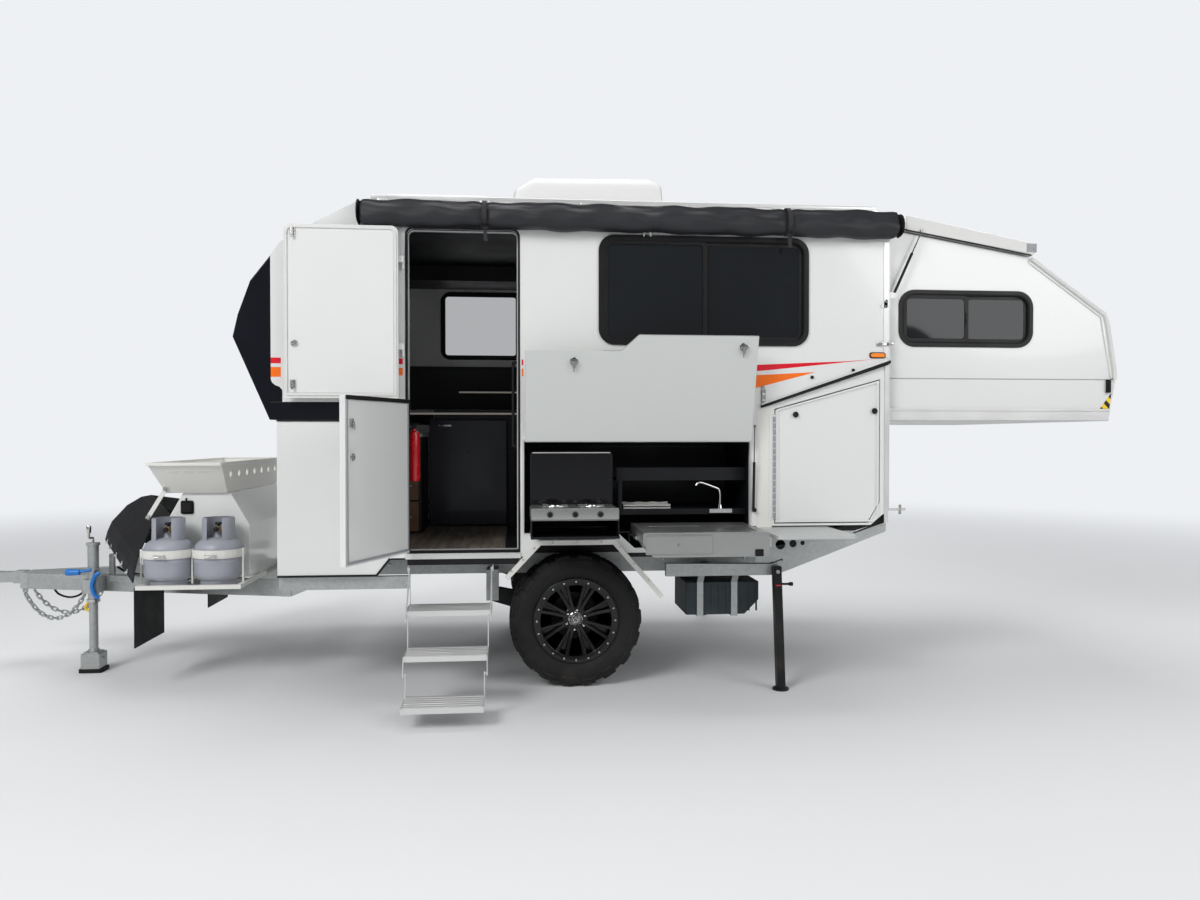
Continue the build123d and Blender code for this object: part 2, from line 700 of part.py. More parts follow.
# Body floor, its joists, the door sill and the wheel boxes; the rear part slopes up
REAR_KICK = 1240.0
KICK_SLOPE = 0.2835
kick_rise = (BODY_REAR - REAR_KICK) * KICK_SLOPE
JOIST = 30.0
BOX_IN = 740.0
arch_box = ((-320, FLOOR_TOP - FLOOR_T), (-250, 950), (250, 950), (320, FLOOR_TOP - FLOOR_T))
arch_room = ((-310, FLOOR_TOP - FLOOR_T - 1), (-244, 940), (244, 940), (310, FLOOR_TOP - FLOOR_T - 1))
with BuildPart() as floor:
    with BuildSketch(side_plane(0)):
        outline(
            (
                (LOW_FRONT + WALL, FLOOR_TOP - FLOOR_T),
                (REAR_KICK, FLOOR_TOP - FLOOR_T),
                (BODY_REAR, FLOOR_TOP - FLOOR_T + kick_rise),
                (BODY_REAR, FLOOR_TOP + kick_rise),
                (REAR_KICK, FLOOR_TOP),
                (LOW_FRONT + WALL, FLOOR_TOP),
            )
        )
    extrude(amount=HALF_W - WALL, both=True)
    for side in (-1, 1):
        with BuildSketch(side_plane(side * RAIL_Y)):
            outline(
                (
                    (LOW_FRONT + WALL, FLOOR_TOP - FLOOR_T - JOIST),
                    (REAR_KICK, FLOOR_TOP - FLOOR_T - JOIST),
                    (BODY_REAR - 30, FLOOR_TOP - FLOOR_T - JOIST + kick_rise - 8),
                    (BODY_REAR - 30, FLOOR_TOP - FLOOR_T + kick_rise),
                    (REAR_KICK, FLOOR_TOP - FLOOR_T),
                    (LOW_FRONT + WALL, FLOOR_TOP - FLOOR_T),
                )
            )
        extrude(amount=RAIL_W / 2, both=True)
    with BuildSketch(side_plane(-HALF_W + WALL)):
        block(DOOR_X0, DOOR_X1, SILL_LOW, FLOOR_TOP - 4)
    extrude(amount=WALL)
    for runner_x in (1125, 1545):
        with BuildSketch(level_plane(930 if runner_x > 1500 else FLOOR_TOP - 4)):
            block(runner_x, runner_x + 20, -HALF_W + WALL, -560)
        extrude(amount=(43.7 if runner_x > 1500 else 973.7 - FLOOR_TOP + 4))
    for side in (-1, 1):
        with BuildSketch(side_plane(side * (HALF_W - WALL))):
            outline(arch_box)
        extrude(amount=side * (HALF_W - WALL - BOX_IN))
        with BuildSketch(side_plane(side * (HALF_W - WALL))):
            outline(arch_room)
        extrude(amount=side * (HALF_W - WALL - BOX_IN - 10), mode=Mode.SUBTRACT)
save(floor, "body_floor")

# Step brackets under the door sill, with the pins that the top step hangs on
with BuildPart() as brackets:
    for end in (-1, 1):
        with BuildSketch(cross_plane(STEP_X + end * (STEP_HALF + 0.5))):
            outline(
                (
                    (-HALF_W + WALL, SILL_LOW),
                    (-HALF_W + 2, SILL_LOW),
                    (-HALF_W - HANG_OUT - 14, HANG_Z + 12),
                    (-HALF_W - HANG_OUT - 14, HANG_Z - 14),
                    (-HALF_W - HANG_OUT + 14, HANG_Z - 14),
                    (-HALF_W + WALL, HANG_Z + 12),
                )
            )
        extrude(amount=end * 8)
        with BuildSketch(cross_plane(STEP_X + end * (STEP_HALF + 4))):
            with Locations((-HALF_W - HANG_OUT, HANG_Z)):
                pin_face(STEP_PIN_R)
        extrude(amount=-end * (PLATE_T + 8))
save(brackets, "step_brackets")

# Side walls
WIN_X0 = 149.0
WIN_X1 = 1437.0
WIN_Z0 = 2142.0
WIN_Z1 = 2783.0
FAR_X0 = -1000.0
FAR_X1 = 290.0
FAR_Z0 = 2210.0
FAR_Z1 = 2783.0
LOCKER_X0 = 1236.0
LOCKER_X1 = 1920.0
LOCKER_Z0 = 1018.0
LOCKER_PIN_X = 1234.0
LOCKER_PIN_OUT = 10.0
PIANO_R = 5.0
PIANO_LEAF = 30.0
PIANO_Z0 = 1050.0
PIANO_Z1 = 1700.0
piano_leaf = (LOCKER_PIN_X - PIANO_LEAF, LOCKER_PIN_X, PIANO_Z0, PIANO_Z1)
LOCKER_TOP0 = 1735.0
LOCKER_TOP1 = 1925.0
side_outline = (
    (-1299, ROOF_Z),
    (-1564, 2836),
    (-1765, 2713),
    (NOSE_FRONT, 2637),
    (NOSE_FRONT, BELT_HIGH),
    (DOOR_X0, BELT_HIGH),
    (DOOR_X0, 830),
    (-313, 830),
    (-236, 912),
    (236, 912),
    (296, 846),
    (1100, 846),
    (1106, WALL_KICK),
    (1860, WALL_KICK),
    (BODY_REAR, 1105),
    (BODY_REAR, ROOF_Z),
)
locker_outline = (
    (LOCKER_X0, LOCKER_Z0),
    (LOCKER_X1 - 75, LOCKER_Z0),
    (LOCKER_X1, LOCKER_Z0 + 130),
    (LOCKER_X1, LOCKER_TOP1),
    (LOCKER_X0, LOCKER_TOP0),
)
kitchen_outline = (
    (KIT_X0, KIT_TOP),
    (KIT_X0, KIT_LOW_L),
    (KIT_STEP_A, KIT_LOW_L),
    (KIT_STEP_B, KIT_LOW_R),
    (KIT_X1, KIT_LOW_R),
    (KIT_X1, KIT_TOP),
)

# Kitchen hatch hinge line and its gas strut on the rear jamb
HATCH_ARM = 92.0
STRUT_X = 1098.0
STRUT_LOW = (-HALF_W - 22.0, 1105.0)
STRUT_TUBE_R = 9.0
STRUT_ROD_R = 4.0
STRUT_TUBE_LONG = 300.0
STRUT_ROD_IN = 215.0
EYE_R = 11.0
EYE_T = 10.0
LUG_OFF = STRUT_TUBE_R + 1.0

# Gas struts of the roof lid, one on each side behind the wall's rear edge
STRUT_Y = 1075.0
LID_STRUT_LOW = (2012.0, 2455.0)
LID_STRUT_HIGH = (2203.0, 2874.0)
strut_lug = ((BODY_REAR - 8, 2435), (2024, 2440), (2028, 2470), (BODY_REAR - 8, 2480))
hatch_pin = (-HALF_W - HATCH_OUT, KIT_TOP)
HATCH_WALL_KNUCKLES = ((KIT_X0 + 8, KIT_X0 + 44), (360, 400), (KIT_X1 - 44, KIT_X1 - 8))
HATCH_OWN_KNUCKLES = ((KIT_X0 + 44.5, 359.5), (400.5, KIT_X1 - 44.5))

# Hinge knuckles shared by the walls and the doors: a pinned barrel on each side of every joint line
KNUCKLE_R = 9.0
KNUCKLE_PIN = 5.0
KNUCKLE_LONG = 40.0
UPPER_HINGES = (2080.0, 2600.0)
LOWER_HINGES = (1010.0, 1560.0)
door_pin = (DOOR_HINGE_X, -HALF_W - DOOR_HINGE_OUT)


def knuckle_leaf(reach):
    """Barrel round the door pin and its leaf, seen from above; the leaf ends that far along the trailer."""
    with Locations(door_pin):
        pin_face(KNUCKLE_R)
    lift = 18 if reach > 0 else 22
    near_edge = -HALF_W - DOOR_HINGE_OUT + lift
    block(*sorted((DOOR_HINGE_X, DOOR_HINGE_X + reach)), near_edge - 6, near_edge)
    block(DOOR_HINGE_X - 4, DOOR_HINGE_X + 4, -HALF_W - DOOR_HINGE_OUT, near_edge)


with BuildPart() as wall_near:
    with BuildSketch(side_plane(-HALF_W + WALL)):
        outline(side_outline)
        pane(DOOR_X0, DOOR_X1, 700, DOOR_TOP, 45, mode=Mode.SUBTRACT)
        block(DOOR_X0 - 1, DOOR_X1, 700, FLOOR_TOP, mode=Mode.SUBTRACT)
        pane(WIN_X0, WIN_X1, WIN_Z0, WIN_Z1, 85, mode=Mode.SUBTRACT)
        outline(kitchen_outline, mode=Mode.SUBTRACT)
        outline(locker_outline, mode=Mode.SUBTRACT)
    extrude(amount=WALL)
    for hinge_z in UPPER_HINGES:
        with BuildSketch(level_plane(hinge_z - KNUCKLE_LONG)):
            knuckle_leaf(-46)
        extrude(amount=KNUCKLE_LONG)
        with BuildSketch(level_plane(hinge_z)):
            with Locations(door_pin):
                pin_face(KNUCKLE_PIN)
        extrude(amount=KNUCKLE_LONG)
    for lug_x0, lug_x1 in HATCH_WALL_KNUCKLES:
        with BuildSketch(cross_plane(lug_x0)):
            with Locations(hatch_pin):
                pin_face(KNUCKLE_R)
            outline(
                (
                    (-HALF_W, KIT_TOP + 6),
                    (-HALF_W, KIT_TOP + 34),
                    (-HALF_W - 5, KIT_TOP + 34),
                    (-HALF_W - HATCH_OUT - 5, KIT_TOP + 7),
                    (-HALF_W - HATCH_OUT, KIT_TOP),
                )
            )
        extrude(amount=lug_x1 - lug_x0)
    with BuildSketch(cross_plane(KIT_X0 + 12)):
        with Locations(hatch_pin):
            pin_face(KNUCKLE_PIN)
    extrude(amount=KIT_X1 - KIT_X0 - 24)
    with BuildSketch(side_plane(-HALF_W)):
        block(*piano_leaf)
    extrude(amount=LOCKER_PIN_OUT - PIANO_R - SEAT)
    with BuildSketch(side_plane(-STRUT_Y - LUG_OFF)):
        outline(strut_lug)
    extrude(amount=8)
    with BuildSketch(side_plane(-STRUT_Y - LUG_OFF)):
        with Locations(LID_STRUT_LOW):
            pin_face(KNUCKLE_PIN)
    extrude(amount=-LUG_OFF - EYE_T / 2 - 2)
save(wall_near, "side_wall_near")

with BuildPart() as strut_foot:
    with BuildSketch(cross_plane(STRUT_X + LUG_OFF)):
        with Locations(STRUT_LOW):
            outline(((-9, -9), (22, -14), (22, 14), (-9, 9)))
    extrude(amount=8)
    with BuildSketch(cross_plane(STRUT_X + LUG_OFF)):
        with Locations(STRUT_LOW):
            pin_face(KNUCKLE_PIN)
    extrude(amount=-LUG_OFF - EYE_T / 2 - 2)
save(strut_foot, "strut_bracket")

far_outline = side_outline[:5] + ((-1060, BELT_HIGH), (-1060, 830)) + side_outline[7:]
with BuildPart() as wall_far:
    with BuildSketch(side_plane(HALF_W)):
        outline(far_outline)
        pane(FAR_X0, FAR_X1, FAR_Z0, FAR_Z1, 85, mode=Mode.SUBTRACT)
        outline(locker_outline, mode=Mode.SUBTRACT)
    extrude(amount=WALL)
    with BuildSketch(side_plane(HALF_W)):
        block(*piano_leaf)
    extrude(amount=-LOCKER_PIN_OUT + PIANO_R + SEAT)
    with BuildSketch(side_plane(STRUT_Y + LUG_OFF)):
        outline(strut_lug)
    extrude(amount=-8)
    with BuildSketch(side_plane(STRUT_Y + LUG_OFF)):
        with Locations(LID_STRUT_LOW):
            pin_face(KNUCKLE_PIN)
    extrude(amount=LUG_OFF + EYE_T / 2 + 2)
save(wall_far, "side_wall_far")

# Lower front shell, and the black nose with its belt along both sides
with BuildPart() as low_shell:
    with BuildSketch(level_plane(730)):
        block(LOW_FRONT, DOOR_X0, -HALF_W, HALF_W)
        block(LOW_FRONT + WALL, DOOR_X0 + 1, -HALF_W + WALL, HALF_W - WALL, mode=Mode.SUBTRACT)
        block(-1060, DOOR_X0 + 1, HALF_W - WALL - 1, HALF_W + 1, mode=Mode.SUBTRACT)
    extrude(amount=BELT_LOW - 730)
    with BuildSketch(side_plane(HALF_W + 1)):
        outline(((-1202, 729), (-1120, 830), (-1000, 830), (-1000, 729)))
    extrude(amount=2 * HALF_W + 2, mode=Mode.SUBTRACT)
    for hinge_z in LOWER_HINGES:
        with BuildSketch(level_plane(hinge_z - KNUCKLE_LONG)):
            knuckle_leaf(-46)
        extrude(amount=KNUCKLE_LONG)
        with BuildSketch(level_plane(hinge_z)):
            with Locations(door_pin):
                pin_face(KNUCKLE_PIN)
        extrude(amount=KNUCKLE_LONG)
save(low_shell, "lower_front_shell")

nose_outline = (
    (NOSE_FRONT, 2637),
    (-1935, 2485),
    (-2007, 2285),
    (-2037, 2154),
    (-1826, BELT_LOW),
    (NOSE_FRONT, BELT_LOW),
)
with BuildPart() as nose:
    with BuildSketch(side_plane(0)):
        outline(nose_outline)
    extrude(amount=HALF_W, both=True)
    with BuildSketch(side_plane(0)):
        outline(nose_outline)
        offset(amount=-WALL, mode=Mode.REPLACE)
    extrude(amount=HALF_W - WALL, both=True, mode=Mode.SUBTRACT)
    with BuildSketch(side_plane(0)):
        block(NOSE_FRONT - WALL - 1, NOSE_FRONT, 1800, 2500)
    extrude(amount=HALF_W - WALL, both=True, mode=Mode.SUBTRACT)
    with BuildSketch(level_plane(BELT_LOW)):
        block(NOSE_FRONT, DOOR_X0, -HALF_W, -HALF_W + WALL)
        block(NOSE_FRONT, -1060, HALF_W - WALL, HALF_W)
        block(NOSE_FRONT, LOW_FRONT + WALL, -HALF_W + WALL, HALF_W - WALL)
    extrude(amount=BELT_HIGH - BELT_LOW)
save(nose, "nose_shell")

# Roof skin between the side walls, with its front slope
with BuildPart() as roof:
    with BuildSketch(side_plane(0)):
        outline(
            (
                (BODY_REAR, ROOF_Z),
                (-1299, ROOF_Z),
                (-1564, 2836),
                (-1765, 2713),
                (NOSE_FRONT, 2637),
                (NOSE_FRONT + 30, 2610),
                (-1740, 2685),
                (-1548, 2806),
                (-1291, ROOF_Z - WALL),
                (BODY_REAR, ROOF_Z - WALL),
            )
        )
    extrude(amount=HALF_W - WALL, both=True)
save(roof, "roof_panel")

# Rear wall below the pod
with BuildPart() as rear_wall:
    with BuildSketch(side_plane(0)):
        outline(
            (
                (BODY_REAR - 40, FLOOR_TOP + kick_rise - 40 * KICK_SLOPE),
                (BODY_REAR, FLOOR_TOP + kick_rise),
                (BODY_REAR, POD_BASE - 0.3),
                (BODY_REAR - 40, POD_BASE - 0.3),
            )
        )
    extrude(amount=HALF_W - WALL, both=True)
save(rear_wall, "rear_wall")

# Windows: an outer flange on the wall's skin, a glazed core in the cut, a bar up the middle
window_rows = (
    (-1, WIN_X0, WIN_X1, WIN_Z0, WIN_Z1),
    (1, FAR_X0, FAR_X1, FAR_Z0, FAR_Z1),
)
with BuildPart() as glazed:
    for side, x0, x1, z0, z1 in window_rows:
        with BuildSketch(side_plane(side * HALF_W)):
            pane(x0 - 16, x1 + 16, z0 - 16, z1 + 16, 95)
        extrude(amount=-side * 12)
        with BuildSketch(side_plane(side * HALF_W)):
            pane(x0 + 1, x1 - 1, z0 + 1, z1 - 1, 84)
        extrude(amount=side * (WALL - 2))
        with BuildSketch(side_plane(side * HALF_W)):
            block((x0 + x1) / 2 - 14, (x0 + x1) / 2 + 14, z0 + 10, z1 - 10)
        extrude(amount=-side * 18)
save(glazed, "side_windows")

# Wheel-arch strips
ARCH_LINE = ((-430, 700), (-228, 915), (228, 915), (525, 573))
with BuildPart() as arch_strips:
    for side in (-1, 1):
        with BuildSketch(side_plane(side * HALF_W)):
            strip(ARCH_LINE, 30)
        extrude(amount=-side * 25)
save(arch_strips, "arch_strips")

# Entry doors, each drawn closed and then turned to its open place
door_axis = Axis(
    (HITCH_TO_AXLE + DOOR_HINGE_X, -HALF_W - DOOR_HINGE_OUT, 0), (0, 0, 1)
)
with BuildPart() as door_up:
    with BuildSketch(side_plane(-HALF_W + DOOR_T - 4)):
        pane(DOOR_X0 + GAP, DOOR_X1 - GAP, DOOR_SPLIT - 60, DOOR_TOP - GAP, 40)
        block(DOOR_X0, DOOR_X1, DOOR_SPLIT - 80, DOOR_SPLIT + GAP / 2, mode=Mode.SUBTRACT)
    extrude(amount=DOOR_T)
    for hinge_z in UPPER_HINGES:
        with BuildSketch(level_plane(hinge_z + 0.5)):
            knuckle_leaf(60)
            with Locations(door_pin):
                pin_hole(KNUCKLE_PIN)
        extrude(amount=KNUCKLE_LONG)
door_up_open = door_up.part.rotate(door_axis, -180)
with BuildPart() as door_upper:
    add(door_up_open)
save(door_upper, "door_upper")

with BuildPart() as door_down:
    with BuildSketch(side_plane(-HALF_W + DOOR_T - 4)):
        block(DOOR_X0 + GAP, DOOR_X1 - GAP, FLOOR_TOP + GAP, DOOR_SPLIT - GAP / 2)
    extrude(amount=DOOR_T)
    for hinge_z in LOWER_HINGES:
        with BuildSketch(level_plane(hinge_z + 0.5)):
            knuckle_leaf(60)
            with Locations(door_pin):
                pin_hole(KNUCKLE_PIN)
        extrude(amount=KNUCKLE_LONG)
door_down_open = door_down.part.rotate(door_axis, -LOW_DOOR_OPEN)
with BuildPart() as door_lower:
    add(door_down_open)
save(door_lower, "door_lower")

# Kitchen: liner, hatch, stove tray and sink bench
with BuildPart() as liner:
    with BuildSketch(side_plane(-HALF_W + WALL)):
        outline(
            (
                (KIT_X0 - 20, KIT_TOP + 20),
                (KIT_X0 - 20, 966),
                (322, 966),
                (322, 870),
                (KIT_X1 + 20, 870),
                (KIT_X1 + 20, KIT_TOP + 20),
            )
        )
        outline(
            (
                (KIT_X0, KIT_TOP),
                (KIT_X0, 976),
                (332, 976),
                (332, 880),
                (KIT_X1, 880),
                (KIT_X1, KIT_TOP),
            ),
            mode=Mode.SUBTRACT,
        )
    extrude(amount=-KIT_DEPTH)
    with BuildSketch(side_plane(-HALF_W + WALL + KIT_DEPTH)):
        block(KIT_X0 - 20, KIT_X1 + 20, 966, KIT_TOP + 20)
        block(322, KIT_X1 + 20, 870, 967)
    extrude(amount=-12)
save(liner, "kitchen_liner")

hatch_axis = Axis((HITCH_TO_AXLE, -HALF_W - HATCH_OUT, KIT_TOP - HITCH_HEIGHT), (1, 0, 0))
with BuildPart() as hatch_shut:
    with BuildSketch(side_plane(-HALF_W + HATCH_T - 4)):
        outline(
            (
                (KIT_X0 + GAP, KIT_TOP - GAP),
                (KIT_X0 + GAP, KIT_LOW_L + GAP),
                (KIT_STEP_A + 2, KIT_LOW_L + GAP),
                (KIT_STEP_B + 2, KIT_LOW_R + GAP),
                (KIT_X1 - GAP, KIT_LOW_R + GAP),
                (KIT_X1 - GAP, KIT_TOP - GAP),
            )
        )
    extrude(amount=HATCH_T)
    for lug_x0, lug_x1 in HATCH_OWN_KNUCKLES:
        with BuildSketch(cross_plane(lug_x0)):
            with Locations(hatch_pin):
                pin_face(KNUCKLE_R)
            outline(
                (
                    (-HALF_W - HATCH_OUT, KIT_TOP),
                    (-HALF_W - HATCH_OUT + 7, KIT_TOP - 6),
                    (-HALF_W - HATCH_OUT + 16.5, KIT_TOP - 14),
                    (-HALF_W - HATCH_OUT + 16.5, KIT_TOP - 34),
                    (-HALF_W - HATCH_OUT + 12, KIT_TOP - 34),
                    (-HALF_W - HATCH_OUT - 6, KIT_TOP - 6),
                )
            )
            with Locations(hatch_pin):
                pin_hole(KNUCKLE_PIN)
        extrude(amount=lug_x1 - lug_x0)
    with BuildSketch(cross_plane(KIT_X1 - GAP - 10)):
        block(-HALF_W - 18, -HALF_W, KIT_TOP - HATCH_ARM - 12, KIT_TOP - HATCH_ARM + 12)
    extrude(amount=10)
    with BuildSketch(cross_plane(KIT_X1 - GAP - 10)):
        with Locations((-HALF_W - HATCH_OUT + 8, KIT_TOP - HATCH_ARM)):
            pin_face(KNUCKLE_PIN)
    extrude(amount=STRUT_X - EYE_T / 2 - 1.5 - KIT_X1 + GAP + 10)
hatch_up = hatch_shut.part.rotate(hatch_axis, -HATCH_OPEN)
with BuildPart() as hatch:
    add(hatch_up)
save(hatch, "kitchen_hatch")

STOVE_X0 = -288.0
STOVE_X1 = 240.0
STOVE_OUT = 380.0
STOVE_DEEP = 400.0
TRAY_DEEP = 610.0
with BuildPart() as stove:
    with BuildSketch(level_plane(976.3)):
        block(STOVE_X0, STOVE_X1, -HALF_W - STOVE_OUT, -HALF_W - STOVE_OUT + TRAY_DEEP)
    extrude(amount=14)
    with BuildSketch(level_plane(1061)):
        block(STOVE_X0, STOVE_X1, -HALF_W - STOVE_OUT + 4, -HALF_W - STOVE_OUT + STOVE_DEEP)
    extrude(amount=75)
    with BuildSketch(level_plane(990.3)):
        block(STOVE_X0, STOVE_X0 + 20, -HALF_W - STOVE_OUT + 20, -HALF_W - STOVE_OUT + STOVE_DEEP - 20)
        block(STOVE_X1 - 20, STOVE_X1, -HALF_W - STOVE_OUT + 20, -HALF_W - STOVE_OUT + STOVE_DEEP - 20)
    extrude(amount=72)
    with BuildSketch(side_plane(-HALF_W - STOVE_OUT + STOVE_DEEP)):
        block(STOVE_X0 + 5, STOVE_X1 - 5, 1066, 1462)
    extrude(amount=14)
save(stove, "stove")

SINK_X0 = 345.0
SINK_X1 = 1065.0
SINK_OUT = 500.0
SINK_DEEP = 610.0
SINK_Z0 = 880.3
SINK_Z1 = 1019.0
with BuildPart() as sink:
    with BuildSketch(side_plane(-HALF_W - SINK_OUT + SINK_DEEP)):
        outline(
            (
                (SINK_X0 + 60, SINK_Z0),
                (SINK_X1, SINK_Z0),
                (SINK_X1, SINK_Z1),
                (SINK_X0, SINK_Z1),
                (SINK_X0, 960),
            )
        )
    extrude(amount=SINK_DEEP)
    with BuildSketch(level_plane(SINK_Z1)):
        pane(SINK_X0 + 60, SINK_X0 + 400, -HALF_W - SINK_OUT + 70, -HALF_W - SINK_OUT + 400, 40)
    extrude(amount=-100, mode=Mode.SUBTRACT)
save(sink, "sink_bench")

with BuildPart() as tap:
    with BuildSketch(level_plane(1075)):
        with Locations((800, -HALF_W + 170)):
            RectangleRounded(150, 40, 10)
    extrude(amount=20)
    with BuildSketch(level_plane(1095)):
        with Locations((800, -HALF_W + 170)):
            Circle(10)
    extrude(amount=110)
    with BuildSketch(level_plane(1060)):
        block(332, KIT_X1, -HALF_W + 100, -HALF_W + WALL + KIT_DEPTH)
    extrude(amount=15)
save(tap, "kitchen_shelf")

TABLE_X0 = 1112.0
TABLE_X1 = 1580.0
TABLE_Z = 996.0
TABLE_OUT = 480.0
TABLE_T = 22.0
with BuildPart() as table:
    with BuildSketch(level_plane(TABLE_Z - TABLE_T)):
        block(TABLE_X0, TABLE_X1, -HALF_W - TABLE_OUT - 20, -HALF_W + WALL + 10)
    extrude(amount=TABLE_T)
save(table, "side_table")

# Rear side lockers: doors on piano hinges along their front edges
for side, hand in ((-1, "near"), (1, "far")):
    with BuildPart() as locker:
        with BuildSketch(side_plane(side * (HALF_W + 2))):
            outline(
                (
                    (LOCKER_X0 + GAP, LOCKER_Z0 + GAP),
                    (LOCKER_X1 - 75 - GAP, LOCKER_Z0 + GAP),
                    (LOCKER_X1 - GAP, LOCKER_Z0 + 130),
                    (LOCKER_X1 - GAP, LOCKER_TOP1 - GAP - 2),
                    (LOCKER_X0 + GAP, LOCKER_TOP0 - GAP),
                )
            )
        extrude(amount=side * 26)
        with BuildSketch(level_plane(PIANO_Z0)):
            with Locations((LOCKER_PIN_X, side * (HALF_W + LOCKER_PIN_OUT))):
                Circle(PIANO_R)
            block(LOCKER_PIN_X, LOCKER_PIN_X + PIANO_LEAF, *sorted((side * (HALF_W + 2), side * (HALF_W + 8))))
        extrude(amount=PIANO_Z1 - PIANO_Z0)
    save(locker, f"locker_door_{hand}")

# Rear pod
pod_side = (
    (POD_IN, POD_BASE),
    (POD_IN, 2895),
    (2110, 2866),
    (2945, 2725),
    (3469, 2361),
    (3547, 1920),
    (3498, POD_BASE),
)
POD_WIN = (2084.0, 2957.0, 2154.0, 2488.0)
with BuildPart() as pod_sides:
    for side in (-1, 1):
        with BuildSketch(side_plane(side * POD_HALF)):
            outline(pod_side)
            pane(*POD_WIN, 95, mode=Mode.SUBTRACT)
        extrude(amount=side * POD_WALL)
        with BuildSketch(side_plane(side * (POD_HALF - 5))):
            strip(((3527, 1945), (3453, 2353), (2950, 2703)), 34)
            block(POD_IN + 20, 3494, POD_BASE + 2, POD_FLOOR)
        extrude(amount=-side * 15)
save(pod_sides, "pod_sides")
with BuildPart() as pod_floor:
    with BuildSketch(level_plane(POD_BASE)):
        block(POD_IN, 3490, -POD_HALF + POD_WALL, POD_HALF - POD_WALL)
    extrude(amount=POD_FLOOR - POD_BASE)
save(pod_floor, "pod_floor")
with BuildPart() as pod_rear:
    with BuildSketch(side_plane(0)):
        outline(
            (
                (3512, POD_FLOOR),
                (3547, 1920),
                (3469, 2361),
                (2945, 2725),
                (2930, 2703),
                (3446, 2348),
                (3521, 1920),
                (3486, POD_FLOOR),
            )
        )
    extrude(amount=POD_HALF - POD_WALL, both=True)
save(pod_rear, "pod_rear")
with BuildPart() as pod_glass:
    x0, x1, z0, z1 = POD_WIN
    for side in (-1, 1):
        with BuildSketch(side_plane(side * POD_HALF)):
            pane(x0 - 14, x1 + 14, z0 - 14, z1 + 14, 105)
        extrude(amount=-side * 8)
        with BuildSketch(side_plane(side * POD_HALF)):
            pane(x0 + 1, x1 - 1, z0 + 1, z1 - 1, 94)
        extrude(amount=side * (POD_WALL - 2))
save(pod_glass, "pod_windows")

# Roof lid over the pod, hinged behind the roof
LID_HALF = 1060.0
LID_PIN_X = 1990.0
LID_PIN_Z = 2975.0
LID_PIN_R = 7.7
with BuildPart() as lid:
    with BuildSketch(side_plane(0)):
        outline(
            (
                (BODY_REAR + GAP, ROOF_Z),
                (2101, ROOF_Z),
                (2963, 2812),
                (2968, 2750),
                (2955, 2731),
                (2940, 2735),
                (2110, 2876),
                (BODY_REAR + GAP, 2898),
            )
        )
    extrude(amount=LID_HALF, both=True)
    with BuildSketch(side_plane(0)):
        with Locations((LID_PIN_X, LID_PIN_Z)):
            pin_face(LID_PIN_R)
    extrude(amount=LID_HALF - 40, both=True)
    with BuildSketch(side_plane(0)):
        with Locations(LID_STRUT_HIGH):
            pin_face(KNUCKLE_PIN)
    extrude(amount=STRUT_Y - EYE_T / 2 - 1.5, both=True)
save(lid, "roof_lid")

# Gas struts: a tube on its lower pin and a rod in it; the rod's eye stands just off its own pin
hatch_turn = math.radians(HATCH_OPEN)
pin_drop = 8.0
eye_out = HATCH_ARM * math.sin(hatch_turn) - pin_drop * math.cos(hatch_turn)
eye_up = -HATCH_ARM * math.cos(hatch_turn) - pin_drop * math.sin(hatch_turn)
hatch_low = Vector(HITCH_TO_AXLE + STRUT_X, STRUT_LOW[0], STRUT_LOW[1] - HITCH_HEIGHT)
hatch_high = Vector(HITCH_TO_AXLE + STRUT_X, -HALF_W - HATCH_OUT - eye_out, KIT_TOP + eye_up - HITCH_HEIGHT)
lid_pairs = []
for side in (-1, 1):
    low = Vector(HITCH_TO_AXLE + LID_STRUT_LOW[0], side * STRUT_Y, LID_STRUT_LOW[1] - HITCH_HEIGHT)
    high = Vector(HITCH_TO_AXLE + LID_STRUT_HIGH[0], side * STRUT_Y, LID_STRUT_HIGH[1] - HITCH_HEIGHT)
    lid_pairs.append((low, high))
strut_rows = (
    ("hatch_strut", [(hatch_low, hatch_high)], (1, 0, 0)),
    ("lid_strut", lid_pairs, (0, 1, 0)),
)
